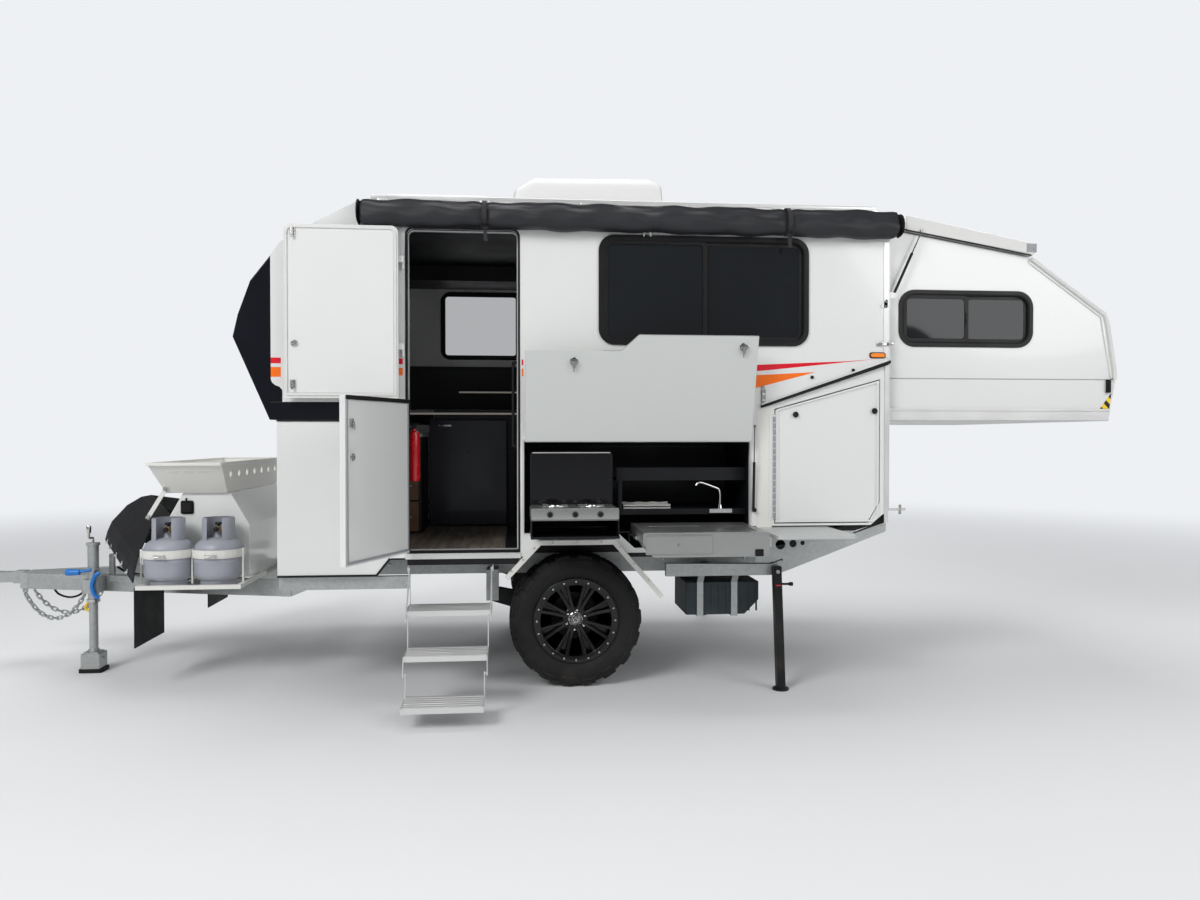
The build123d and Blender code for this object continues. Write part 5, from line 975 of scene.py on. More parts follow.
# ---------------------------------------------------------------- outside kitchen
def bowl_shape(x0, x1, y0, y1, top, deep, radius):
    """A pressed bowl: rounded rectangles that shrink and round off as they go down."""
    rows = []
    for part in np.linspace(0, 1, 10):
        draw = 10 * part + 26 * max(part - 0.82, 0) / 0.18
        drop = deep * min(part / 0.9, 1.0) ** 0.9
        rows.append(laid(box_line(x0 + draw, y0 + draw, x1 - draw, y1 - draw, max(radius - draw * 0.3, 12), 8),
                "z", top - drop))
    return cupped(np.stack(rows))


def make_stove():
    """A slide-out two-burner hob: stainless case with a front panel and knobs, enamel top, wire trivets,
    burners, a tray below, and the black glass lid standing up behind."""
    x0, x1, front, back, lift = -288.0, 222.0, -1480.0, -1080.0, 18.0
    cook = front + 215

    def raised(*shapes):
        return shifted(joined(*shapes), 0, 0, lift)

    piece("stove_tray", [plate((x0, front, x1, front + 610, 4), "z", 976.3, 980),
            rim_plate((x0, front, x1, front + 610), 3, (4, 3), "z", 976.3, 990.3),
            brick(x0 + 2, x0 + 8, front + 20, back - 20, 989, 1080),
            brick(x1 - 8, x1 - 2, front + 20, back - 20, 989, 1080)], "liner_black", "stove", bevel=1.0,
        replaces=("stove",))
    panel = [(33, 1064), (29, 1070), (29, 1118), (38, 1131), (58, 1131), (58, 1064)]
    piece("stove_case", raised(slab(softened(oblong(x0, front + 34, x1, back), 10), "z", 1061, 1122),
                               slab(softened(np.array(panel) + (front, 0), 3, 3), "x", x0 + 3, x1 - 3)),
          "stainless", "stove", bevel=1.2)
    piece("stove_pan", raised(plate((x0 + 6, front + 54, x1 - 6, back - 4, 12), "z", 1121, 1127)), "stainless",
        "stove", bevel=1.5)
    burners, caps, wires = [], [], []
    for bx, r in ((x0 + 145, 42.0), (x1 - 145, 34.0)):
        spot = (bx, cook, 1127)
        burners.append(
            turned([(r + 16, 0), (r + 14, 3), (r + 2, 5), (r, 12), (r - 4, 14), (0, 14)], spot, "z", 40))
        caps.append(turned([(r - 6, 14), (r - 5, 19), (r - 12, 21), (0, 21)], spot, "z", 40))
        ring = ring_line(88, 40)
        path = np.stack([bx + ring[:, 0], cook + ring[:, 1], np.full(40, 1134.0)], 1)
        wires.append(carried(path, ring_line(3, 8), closed=True))
        for n in range(4):
            c, s = math.cos(math.pi / 4 + n * math.pi / 2), math.sin(math.pi / 4 + n * math.pi / 2)
            rise = ((92, 1128), (88, 1134), (70, 1135.5), (26, 1135.5))
            arm = [(bx + reach * c, cook + reach * s, z) for reach, z in rise]
            wires.append(bent_bar(arm, 2.6, 8, 4))
    piece("burners", raised(*burners), "zinc_bolt", "stove", crease=40)
    piece("burner_caps", raised(*caps), "enamel_black", "stove", crease=40)
    piece("trivets", raised(*wires), "chrome", "stove", crease=60)
    knobs, dials = [], []
    for kx in (x0 + 110, (x0 + x1) / 2, x1 - 110):
        knobs += [turned([(0, -22), (11, -22), (13, -19), (14, -4), (16, 0)], (kx, front + 29, 1097), "y", 28),
                  brick(kx - 2.5, kx + 2.5, front + 2, front + 10, 1084, 1110, 1)]
        dials.append(turned([(0, -1.5), (19, -1.5), (20, 0)], (kx, front + 29, 1097), "y", 32))
    piece("stove_knobs", raised(*knobs), "liner_black", "stove", bevel=0.8)
    piece("knob_plates", raised(*dials), "dark_chrome", "stove", crease=40)
    lid = plate((x0 + 6, 1068, x1 - 6, 1461, 16), "y", back - 2, back - 12)
    lid_rim = rim_plate((x0 + 2, 1066, x1 - 2, 1464), 12, (18, 12), "y", back, back - 14)
    hinges = joined(*[rod((x, back - 8, 1124), (x + 40, back - 8, 1124), 7) for x in (x0 + 60, x1 - 100)])
    piece("stove_lid", lid, "enamel_black", "stove", bevel=1.5)
    piece("lid_rim", lid_rim, "liner_black", "stove", bevel=1.2)
    piece("lid_edge", brick(x0 + 16, x1 - 16, back - 15, back - 5, 1461, 1466, 2), "seal_white", "stove",
        bevel=1.0)
    piece("lid_hinges", hinges, "stainless", "stove", crease=60)


def make_sink():
    """The slide-out bench: a stainless front with its cut corner, drawer panel and socket, a pressed top with
    bowl, drainer ribs and waste, and its runners."""
    x0, x1, front, back, top = 345.0, 1065.0, -1600.0, -990.0, 1019.0
    cut = softened([(x0 + 60, 880.3), (x1, 880.3), (x1, top - 2), (x0, top - 2), (x0, 960)], 3, 3)
    shell = skin(np.stack([laid(cut, "y", y) for y in (front + 2, back)]), round_cols=True)
    drainer = frame_slab(box_line(x0, front, x1, back, 14, 8),
        box_line(x0 + 60, front + 60, x0 + 400, front + 400, 46, 8), "z", top - 4, top)
    bowl = bowl_shape(x0 + 60, x0 + 400, front + 60, front + 400, top - 1, 116, 46)
    cover = [(x0 + 52, 880.3), (x1, 880.3), (x1, top - 2), (x0 - 6, top - 2), (x0 - 6, 958)]
    face = joined(slab(softened(cover, 3, 3), "y", front + 1, front + 4),
                  brick(x0 - 6, x0 - 3, front + 2, front + 30, 960, top - 3))
    panel = slab(softened([(x0 + 12, 900), (x0 + 388, 900), (x0 + 388, 1000), (x0 + 12, 1000)], 5, 4), "y",
        front - 2.5, front + 2)
    lip = rim_plate((x0 + 8, 896, x0 + 392, 1004), 4, (7, 5), "y", front - 4, front + 2)
    pull = turned([(0, -12), (7, -11), (9, -6), (5, -2), (6, 0)], (x0 + 200, front - 2, 950), "y", 16)
    grooves = []
    for gx in np.linspace(x0 + 440, x1 - 60, 9):
        t = np.linspace(0, 1, 12)
        path = np.stack([np.full(12, gx), front + 70 + 330 * t, top + 0.2 + 1.8 * np.sin(math.pi * t)], 1)
        grooves.append(carried(path, ring_line(4.5, 8) * (1, 0.6)))
    rolled = carried([(x0 + 3, front + 2, top - 3), (x1 - 3, front + 2, top - 3)], ring_line(5, 12))
    piece("sink_case", [shell, face, lip, pull], "stainless", "sink_bench", bevel=0.8, replaces=("sink_bench",))
    piece("sink_top", [drainer, bowl, rolled, *grooves], "stainless", "sink_bench", bevel=0.8, crease=40)
    piece("sink_drawer", panel, "stainless", "sink_bench", bevel=1.4)
    piece("sink_waste", [turned([(0, 3), (24, 3), (34, 1.5), (38, 0)], (x0 + 230, front + 230, 904), "z", 32),
            turned([(0, 6), (8, 6), (10, 2)], (x0 + 230, front + 230, 904), "z", 16)], "chrome", "sink_bench",
        crease=40)
    piece("bench_socket", [rim_plate((x1 - 84, 882, x1 - 36, 922), 7, (5, 4), "y", front - 6, front + 1),
            plate((x1 - 77, 889, x1 - 43, 915, 4), "y", front - 2, front + 1)], "liner_black", "sink_bench",
        bevel=0.8)
    piece("bench_runners", [brick(x0 - 10, x0, back - 330, back - 6, 950, 972),
            brick(x1 + 1, x1 + 8, back - 330, back - 6, 900, 922)], "zinc_bolt", "sink_bench", bevel=1.0)


def make_kitchen_back():
    """What stays in the kitchen bay: the long shelf with its rails and post, the tap, the lamp strip and the
    edge trim."""
    piece("bay_shelf", [plate((262, -1000, 1079, -434, 4), "z", 1088, 1103),
            brick(262, 1079, -1006, -994, 1072, 1108, 2), brick(252, 1079, -1004, -990, 1286, 1368, 3),
            brick(252, 1079, -992, -700, 1286, 1300, 2), brick(264, 290, -1004, -984, 1106, 1288, 2)],
        "liner_black", bevel=1.5, replaces=("kitchen_shelf",))
    piece("bay_tap", [joined(brick(842, 992, -1020, -988, 1082, 1106, 6),
                brick(856, 880, -1028, -1016, 1088, 1100, 3), brick(952, 978, -1028, -1016, 1088, 1100, 3),
                turned([(17, 0), (16, 10), (12, 22), (11, 34)], (914, -1002, 1104), "z", 24)),
            bent_bar([(914, -1002, 1130), (914, -1002, 1200), (910, -1002, 1222), (898, -1004, 1234),
                    (830, -1008, 1260), (790, -1010, 1272), (770, -1012, 1270), (758, -1012, 1256)], 7, 14, 6,
                up=ACROSS)], "chrome", crease=60)
    piece("bay_lamp", brick(-250, 1000, -470, -458, 1490, 1504, 2), "cabin_charcoal", bevel=1.0)
    piece("bay_edge", frame_slab(
            softened([(-334, 1547), (-334, 960), (245, 960), (350, 864), (1091, 864), (1091, 1547)], 6),
            softened([(-322, 1535), (-322, 972), (250, 972), (355, 876), (1079, 876), (1079, 1535)], 5), "y",
            -1099, -1103), "trim_aluminium", bevel=1.0)


def make_towel():
    """The folded towel on the shelf: a line that runs to and fro in four layers, carried across with slow
    waves in it."""
    turns = [(-884, 1107)]
    for layer in range(4):
        z, near_side = 1107 + 8 * layer, layer % 2 == 0
        turns += [(-984, z), (-989, z + 4), (-984, z + 8)] if near_side else [(-884, z), (-879, z + 4),
            (-884, z + 8)]
    fold = eased([(300.0, y, z) for y, z in turns], 5)
    across = np.linspace(0, 1, 40)
    wave = 1.6 * np.sin(across * 21)[:, None] * np.linspace(0.2, 1, len(fold))[None]
    cloth = np.stack([np.broadcast_to((300 + 300 * across)[:, None], wave.shape),
            fold[None, :, 1] + 2 * np.sin(across * 13)[:, None], fold[None, :, 2] + wave + 1.6], -1)
    towel = piece("folded_towel", skin(cloth), "lining_pale", crease=180)
    thick = towel.modifiers.new("thickness", "SOLIDIFY")
    thick.thickness = 0.003


def make_table():
    """The side table: a folded-edge sheet with two ribs below."""
    x0, x1, front, back = 1112.0, 1580.0, -1600.0, -1060.0
    piece("table_top", [plate((x0, front, x1, back, 18, 8), "z", 990, 996),
            rim_plate((x0, front, x1, back), 3, (18, 16), "z", 974, 992, 8)], "table_grey", "side_table",
        bevel=1.5, replaces=("side_table",))
    piece("table_ribs", [brick(x, x + 24, front + 40, back, 976, 991) for x in (x0 + 30, x1 - 54)],
        "trim_aluminium", "side_table", bevel=1.0)


# ---------------------------------------------------------------- steps
# each step's body, the height of its tread, its front edge and half its width
STEP_ROWS = (("step_top", 545.0, -1300.0, 242.0), ("step_mid", 340.0, -1550.0, 228.0),
    ("step_low", 125.0, -1800.0, 214.0))
STEP_MIDDLE = -765.0


def make_steps():
    """Grip treads: across the tread's depth the height goes up and down in small ribs, with a rolled nose,
    and bolts through the side plates."""
    for body, top, front, half in STEP_ROWS:
        depth = np.linspace(0, 1, 150)
        y = front + 6 + 224 * depth
        ribs = 2.4 * eased_step(np.sin(depth * 2 * math.pi * 6 - 1.2), -0.62, -0.3)
        z = top + 0.2 + ribs * eased_step(depth, 0, 0.02) * (1 - eased_step(depth, 0.98, 1))
        x = STEP_MIDDLE + np.array([-half + 2, half - 2])
        upper = np.stack(np.broadcast_arrays(x[:, None], y, z), -1)
        lower = upper.copy()
        lower[:, :, 2] = top - 2
        piece(body + "_grip", skin(np.concatenate([upper, lower[:, ::-1]], 1), round_cols=True, caps=True),
            "trim_aluminium", body, crease=40)
        nose = carried([(STEP_MIDDLE - half, front + 8.4, top - 8), (STEP_MIDDLE + half, front + 8.4, top - 8)],
            ring_line(8.0, 14))
        bolts = joined(*[screws([(STEP_MIDDLE + s * (half + 1), front + d, top - 15)], "x", 8, s * 5)
                for s in (-1, 1) for d in (60, 175)])
        piece(body + "_nose", nose, "trim_aluminium", body, crease=50)
        piece(body + "_bolts", bolts, "zinc_bolt", body)


# ---------------------------------------------------------------- stripes, lamps, trims on the body
FILM = 0.8  # how far a stripe's film stands proud


STRIPES = {
    "red": ((1997, 2031), (1997, 2031),
            [(1090, 1968), (1176, 1975), (1880, 2050), (1700, 2036), (1176, 2012), (1090, 2008)]),
    "orange": ((1930, 1975), (1917, 1975),
               [(1090, 1860), (1120, 1866), (1500, 1967), (1300, 1955), (1090, 1944)])}


def make_stripes():
    """Red and orange swooshes on both sides. Each colour has its heights at the door and on the nose, and the
    outline of its long wedge at the rear. The side lamps on their rubber bases end the row."""
    for place, x0, x1 in (("rear", -336, -326), ("fore", -1076, -1048)):
        for colour, ((low, high), _nose, _wedge) in STRIPES.items():
            piece("jamb_" + colour + "_" + place, wall_plate(oblong(x0, low, x1, high), FILM),
                "stripe_" + colour)
    for colour, (_door, (low, high), wedge) in STRIPES.items():
        films = [wall_plate(oblong(-1818, low, -1760, high), FILM), wall_plate(wedge, FILM)]
        piece("stripe_" + colour + "_film", films, "stripe_" + colour, twin=True)
    piece("side_lamps", wall_plate(box_line(1855, 2062, 1947, 2088, 12, 5), 12), "lamp_orange", twin=True,
        bevel=3)
    piece("lamp_bases", wall_plate(box_line(1848, 2056, 1954, 2094, 15, 5), 5), "rubber", twin=True, bevel=1.0)


def wall_trims():
    """Extrusions round the box, on both sides: base strips, the locker's drip rail and seal, corner posts, the
    nose's notch, the cream jamb strip, piano hinge barrels and bump stops."""
    piece("base_trims", [wall_plate(oblong(-1786, 1652, -1050, 1664), 6),
            wall_plate([(-1786, 722), (-1202, 722), (-1120, 826), (-1133, 832), (-1210, 734), (-1786, 734)],
                7)], "rubber", twin=True, bevel=1.2)
    piece("locker_drips",
        wall_plate([(1150, 1757), (1151, 1740), (1960, 2012), (1982, 2026), (1982, 2044), (1955, 2035)], 22),
        "rubber", twin=True, bevel=2.5)
    piece("drip_rails", wall_plate([(1150, 1758), (1958, 2036), (1958, 2046), (1150, 1768)], 24),
        "trim_aluminium", twin=True, bevel=1.0)
    piece("rear_posts", [wall_plate([(1948, 1012), (1975, 1022), (1975, 2020), (1948, 2008)], 6),
            wall_plate(oblong(1940, 2062, 1975, 2790), 4)], "trim_aluminium", twin=True, bevel=1.5)
    piece("front_posts", wall_plate(oblong(-1296, 2785, -1306, 2960), 5), "rubber", twin=True, bevel=1.0)
    piece("corner_notch", wall_plate([(-1820, 1768), (-1752, 1768), (-1752, 1838), (-1768, 1858), (-1794, 1868),
                (-1810, 1882), (-1820, 1902)], 1.2), "nose_black", twin=True)
    piece("rear_jambs", wall_plate(oblong(1124, 872, 1222, 1757), 1.5), "powder_cream", twin=True, bevel=0.8)
    piece("piano_hinges", [rod((1234, -1110, z), (1234, -1110, z + 34), 7, 14) for z in range(1052, 1690, 40)],
        "seal_grey", twin=True, crease=60)
    piece("bump_stops", [turned([(0, -14), (7, -14), (9, -10), (11, 0)], spot, "y", 20)
            for spot in ((1478, -1100, 1934), (1744, -1100, 1980))], "rubber", twin=True, crease=40)


def over_latch(x, z, tilt=0.0):
    """An over-centre latch: base plate, claw, wire loop and lever."""
    base = brick(x - 14, x + 14, -1104, -WALL_OUT, z - 40, z + 40, 3)
    lever = slab(softened([(z - 34, -1104), (z + 20, -1104), (z + 26, -1116), (z - 30, -1112)], 3, 3)[:, ::-1],
        "x", x - 9, x + 9)
    loop = carried(
        [(x - 8, -1110, z + 16), (x - 8, -1110, z + 56), (x + 8, -1110, z + 56), (x + 8, -1110, z + 16)],
        ring_line(2.4, 8), up=ACROSS, closed=True)
    claw = brick(x - 10, x + 10, -1112, -WALL_OUT, z + 52, z + 66, 2)
    return swung(joined(base, lever, loop, claw), (x, -WALL_OUT, z), "y", tilt)


def make_latches():
    """Over-centre latches, the rear levers, the corner plates, and the locker doors' rims and plugs."""
    piece("bay_latches", [over_latch(1165, 1812), over_latch(1935, 2146, 90.0)], "zinc_bolt", twin=True,
        bevel=0.8)
    piece("rear_levers", [rod((1978, -1040, 1096), (2116, -1040, 1096), 7, 12),
            rod((2080, -1040, 1066), (2080, -1040, 1126), 8, 12),
            brick(1975, 1983, -1066, -1014, 1070, 1122, 3)], "zinc_bolt", twin=True, crease=50)
    piece("corner_plates", [wall_plate(softened([(1902, 2374), (1966, 2374), (1966, 2438)], 8, 4), 4),
            screws([(1926, -1104, 2386), (1952, -1104, 2386), (1954, -1104, 2412)], "y", 5, -3)], "zinc_bolt",
        twin=True, bevel=0.6)
    for hand, twin in SIDES:
        body = "locker_" + hand
        piece(body + "_rim", twin(frame_slab(
                    softened([(1246, 1028), (1906, 1028), (1906, 1912), (1246, 1732)], (10, 46, 10, 10)),
                    softened([(1254, 1036), (1898, 1036), (1898, 1901), (1254, 1725)], (8, 40, 8, 8)), "y",
                    -LOCKER_OUT, -LOCKER_OUT - 1)), "white_paint", body, bevel=0.8)
        piece(body + "_plugs", twin(joined(*[
                        turned([(0, -10), (12, -10), (16, -7), (19, 0)], (x, -LOCKER_OUT, z), "y", 24)
                        for x, z in ((1370, 1700), (1880, 1724))])), "rubber", body, bevel=0.8)


# ---------------------------------------------------------------- roof
RAIL_OUT = 1060.0  # how far out the roof rails run


def make_roof_unit():
    """The roof unit: its side line goes across the roof and sinks by a quarter circle at both edges, over a
    base with louvres."""
    y = np.linspace(-350, 350, 29)
    side_line = softened([(-404, 3152), (-376, 3288), (-250, 3366), (560, 3378), (652, 3340), (665, 3152)],
        (10, 60, 90, 80, 40, 10), 7)
    edge = np.clip((np.abs(y) - 250) / 100, 0, 1)
    lower = 1 - (1 - np.sqrt(1 - np.clip(edge, 0, 0.999) ** 2)) * 0.42
    rows = []
    for out, part in zip(y, lower):
        line = side_line.copy()
        line[:, 1] = 3152 + (line[:, 1] - 3152) * part
        line[:, 0] = 130 + (line[:, 0] - 130) * (0.94 + 0.06 * part)
        rows.append(laid(line, "y", out))
    piece("roof_unit_shroud", skin(np.stack(rows), round_cols=True, caps=True), "white_plastic", crease=50,
        replaces=("air_conditioner",))
    piece("roof_unit_base", [plate((-330, -325, 600, 325, 40), "z", ROOF_TOP, 3110),
            plate((-392, -338, 652, 338, 50), "z", 3108, 3153)], "liner_black", bevel=4)
    piece("roof_unit_louvres", [brick(430 + 22 * n, 438 + 22 * n, s * 346 - 4, s * 346 + 4, 3176, 3236)
            for n in range(9) for s in (-1, 1)], "liner_black", bevel=1.0)
    piece("roof_unit_seam", [plate((-368, s * 348 - 3, 640, s * 348 + 3, 2), "z", 3164, 3168) for s in (-1, 1)],
        "rubber")


def make_roof():
    """The roof hatch's dome on its rim, the rails, a solar panel and the pad in front."""
    hump = box_line(-1290, -600, -500, 600, 70, 8)
    centre = np.array([-895.0, 0.0])
    levels = [(1.0, ROOF_TOP), (0.985, 3010), (0.95, 3100), (0.925, 3140), (0.88, 3160), (0.6, 3168),
        (0.2, 3171)]
    rows = np.stack(
        [laid(centre + (hump - centre) * (part, 1 - (1 - part) * 0.65), "z", z) for part, z in levels])
    piece("roof_hatch_dome", cupped(rows), "white_plastic", crease=50, replaces=("roof_hatch",))
    piece("roof_hatch_rim", frame_slab(box_line(-1295, -606, -494, 606, 70, 8),
            box_line(-1280, -590, -510, 590, 60, 8), "z", ROOF_TOP, 2990), "rubber", bevel=3)
    piece("roof_rails", [*[
                carried([(-1240, s * RAIL_OUT, 2994), (1900, s * RAIL_OUT, 2994)], box_line(-16, -4, 16, 22, 6))
                for s in (-1, 1)], *[brick(x, x + 60, s * RAIL_OUT - 26, s * RAIL_OUT + 26, ROOF_TOP, 2992, 6)
                for x in range(-1200, 1880, 610) for s in (-1, 1)]], "trim_aluminium", bevel=2)
    piece("solar_panel", plate((800, -500, 1780, 500, 20), "z", 3000, 3034), "solar_cells", bevel=2)
    piece("solar_rim", [rim_plate((792, -508, 1788, 508), 20, (24, 14), "z", 2998, 3038),
            *[brick(x, x + 50, s * 504 - 30, s * 504 + 30, ROOF_TOP, 3002, 6) for x in (840, 1690)
                for s in (-1, 1)]], "trim_aluminium", bevel=1.2)
    piece("front_slope_pad", shifted(swung(
                shifted(plate((-1560, -560, -1330, 560, 20), "z", 0, 14), 0, 0, ROOF_TOP), (-1299, 0, ROOF_TOP),
                "y", -27.7), -6, 0, 6), "liner_black", bevel=3)


# ---------------------------------------------------------------- rear pod
def rear_face(up):
    """How far back the pod's slanted rear face stands at a height: 3542 at 1920 up, 78 less for each 441."""
    return 3542 - (up - 1920) * 78 / 441


def lean(shape):
    """The shape pushed back by the slanted face's own place at each point's height."""
    points = shape[0].copy()
    points[:, 0] += rear_face(points[:, 2])
    return points, shape[1]


def make_pod():
    """The pod's tube edges, base rail, fold line, hazard marks, catches, lamps and rear window, and the lid's
    edges, seams and brackets."""
    piece("pod_edge_tubes", carried([(2950, -1046, 2712), (3215, -1046, 2527), (3458, -1046, 2358),
                (3478, -1046, 2300), (3526, -1046, 2010), (3532, -1046, 1935)], ring_line(13, 14), up=ACROSS),
        "seal_white", "rear_pod", twin=True, crease=60)
    piece("pod_base_rails", [slab(oblong(1965, 1668, 3494, 1678), "y", -POD_OUT, -1048),
            slab(oblong(1965, 1728, 3498, 1742), "y", -POD_OUT, -1047),
            slab([(1965, 1678), (3494, 1678), (3496, 1728), (1965, 1728)], "y", -POD_OUT, -1041)],
        "trim_aluminium", "rear_pod", twin=True, bevel=1.2)
    piece("pod_fold_line", slab(oblong(1965, 1933, 3536, 1938), "y", -1029, -1032.5), "seal_grey", "rear_pod",
        twin=True, bevel=0.8)
    piece("pod_hazard_marks", slab([(3440, 1745), (3505, 1745), (3520, 1850)], "y", -POD_OUT, -1031.5),
        "hazard_bands", "rear_pod", twin=True)
    piece("pod_catches", [brick(3478, 3504, -1052, -1030, 1850, 1936, 5),
            brick(3484, 3498, -1060, -1050, 1862, 1905, 3), screws([(3491, -1052, 1924)], "y", 5, -3)],
        "rubber", "rear_pod", twin=True, bevel=1.2)
    piece("lid_edges", slab(
            [(2104, 2968), (2950, 2806), (2962, 2744), (2950, 2738), (2108, 2880), (2104, 2890)], "y", -1060,
            -1066), "seal_white", "roof_lid", twin=True, bevel=2)
    piece("lid_seams", slab(
            [(2000, 2896), (2108, 2872), (2942, 2728), (2942, 2736), (2108, 2882), (2000, 2906)], "y", -1058,
            -1063), "rubber", "roof_lid", twin=True, bevel=1)
    piece("lid_brackets", [brick(2905, 2975, -1068, -1060, 2752, 2806, 6),
            screws([(2925, -1068, 2780), (2955, -1068, 2772)], "y", 6, -4)], "seal_grey", "roof_lid", twin=True,
        bevel=1.2)
    lamps, amber = [], []
    for s in (-1, 1):
        for z, into in ((1990, lamps), (2064, amber), (2138, lamps)):
            into.append(swung(
                    turned([(0, 13), (26, 12), (33, 6), (35, 0)], (rear_face(z), s * 900, z), "x", 28),
                    (rear_face(z), 0, z), "y", -10.0))
    piece("tail_lamps", lamps, "lamp_red", "rear_pod", crease=40)
    piece("turn_lamps", amber, "lamp_orange", "rear_pod", crease=40)
    rear_frame = frame_slab(box_line(-560, 1970, 560, 2300, 60, 8), box_line(-520, 2008, 520, 2262, 40, 8), "x",
        0, 12)
    piece("pod_rear_window", lean(plate((-530, 1998, 530, 2272, 44, 8), "x", 2, 6)), "window_glass", "rear_pod")
    piece("pod_rear_flange", lean(rear_frame), "frame_black", "rear_pod", bevel=2)
    piece("plate_holder", plate((-190, 1780, 190, 1890, 8), "x", 3524, 3530), "trim_aluminium", "rear_pod",
        bevel=1)


def make_struts():
    """Black tubes and dark rods for the gas struts."""
    for name in ("hatch_strut", "lid_strut"):
        NODES[name + "_tube"].material_slots[0].material = FINISHES["frame_black"]
        NODES[name + "_rod"].material_slots[0].material = FINISHES["dark_chrome"]


# ---------------------------------------------------------------- front end
def bottle_shape():
    """A gas bottle: foot ring, rolled weld seams, domed shoulders and neck, turned about its own middle."""
    side = [(98, 0), (106, 0), (108, 30), (107, 36), (122, 44), (136, 56), (143.5, 76), (145, 104), (145, 146),
        (146.5, 150), (146.5, 158), (145, 162), (145, 214), (142, 240), (132, 262), (114, 278), (92, 289),
        (64, 296), (36, 300), (31, 305), (30, 318), (22, 324), (22, 332), (0, 332)]
    return turned(side, (0, 0, 0), "z", 64)


def cable(name, points, radius):
    """A black cable that hangs between two points of the drawbar."""
    path = eased(points, 8)
    hung = piece(name, carried(path, ring_line(radius, 12)), "rubber", crease=60)


# the bottles' middle line and the height that they stand at, and the jack's upright axis
BOTTLE_OUT, BOTTLE_FOOT = -742.0, 632.3
JACK_AT = (-3173.0, -330.0)


def make_bottles():
    """Four gas bottles. A collar is a band round the neck, open in front and lower at two grips; under it sit
    the valve and its wheel. Each bottle is held by a strap and its catch."""
    bottles, collars, valves, wheels, straps, catches = ([] for _ in range(6))
    for x in (-2537.0, -2235.0):
        bottles.append(shifted(bottle_shape(), x, BOTTLE_OUT, BOTTLE_FOOT))
        turn = np.linspace(0.16 * math.pi, 1.84 * math.pi, 46) - math.pi / 2
        lift = np.where(np.abs(np.mod(turn + math.pi / 2, math.pi) - math.pi / 2) < 0.42, 0.0, 1.0)
        heights = np.array([280.0, 318.0, 416.0, 423.0]) + np.outer(1 - lift, [0, 12, 0, 0])
        radii = np.array([99.0, 97.0, 96.0, 92.0])
        outer, inner = [np.stack([x + r * np.cos(turn)[:, None], BOTTLE_OUT + r * np.sin(turn)[:, None],
                                  BOTTLE_FOOT + heights], -1) for r in (radii, radii - 5)]
        collars.append(skin(np.concatenate([outer, inner[:, ::-1]], 1), round_cols=True, caps=True))
        valves += [turned([(14, 0), (16, 10), (13, 24), (11, 40)], (x, BOTTLE_OUT, 962), "z", 20),
                   rod((x, BOTTLE_OUT, 982), (x, -800, 982), 12, 16)]
        wheels += [
            turned([(0, 66), (18, 66), (23, 61), (24, 52), (9, 46), (8, 38)], (x, BOTTLE_OUT, 960), "z", 12),
            turned([(0, -62), (14, -60), (16, -52), (16, -44), (0, -44)], (x, BOTTLE_OUT, 982), "y", 16)]
        ring = ring_line(150.5, 72)
        loop = np.stack([x + ring[:, 0], BOTTLE_OUT + ring[:, 1], np.full(72, 824.0)], 1)
        straps.append(carried(loop, np.array(oblong(-1.5, -14, 1.5, 14)), closed=True))
        catches += [brick(x - 34, x + 30, -902, -894, 812, 838, 3),
            rod((x - 30, -904, 825), (x + 22, -904, 825), 3.4), brick(x - 4, x + 34, -908, -900, 815, 835, 3)]
    piece("gas_bottle_shells", bottles, "bottle_grey", twin=True, crease=50, replaces=("gas_bottles",))
    piece("gas_bottle_collars", collars, "bottle_grey", twin=True, bevel=1.2, crease=40)
    piece("gas_valves", valves, "brass", twin=True, crease=40)
    piece("valve_wheels", wheels, "liner_black", twin=True, bevel=0.8, crease=40)
    piece("bottle_straps", straps, "powder_cream", twin=True, bevel=0.6)
    piece("strap_catches", catches, "zinc_bolt", twin=True, bevel=0.8)


def make_front():
    """The stone guard's clips, the front box's latch, and the tray's rim, slots and bolts."""
    latch = joined(plate((-2520, 1064, -2440, 1150, 12, 6), "y", -580, -588),
        brick(-2512, -2448, -604, -586, 1078, 1136, 8), rod((-2480, -600, 1140), (-2480, -600, 1168), 6))
    piece("guard_clips", [shifted(joined(brick(-14, 14, -8, 8, -8, 8, 3), rod((0, 0, 6), (0, 0, 22), 5)),
                -3228 + 529 * t, -860 * t - 12, 846 - 172 * t) for t in (0.08, 0.22, 0.42, 0.62, 0.8)],
        "zinc_bolt", twin=True, bevel=0.8)
    piece("box_latch", latch, "rubber", twin=True, bevel=1.0)
    piece("tray_rim", rim_plate((-2676, -744, -2215, 744), 18, (10, 8), "z", 1379, 1399, 4), "powder_cream",
        bevel=2.0)
    piece("tray_slots", swung(shifted(joined(
                    *[plate((x - 34, 37, x + 34, 55, 8.8, 6), "y", -0.6, 0.6) for x in (-2520, -2430, -2340)]),
                0, -672, 1300), (0, -672, 1300), "x", 35.4), "seal_white", twin=True)
    piece("stay_bolts", [turned([(0, -9), (10, -9), (12, -5), (15, 0)], (x, -632, z), "y", 16)
            for x, z in ((-2598, 1228), (-2704, 1050))], "zinc_bolt", twin=True, crease=50)


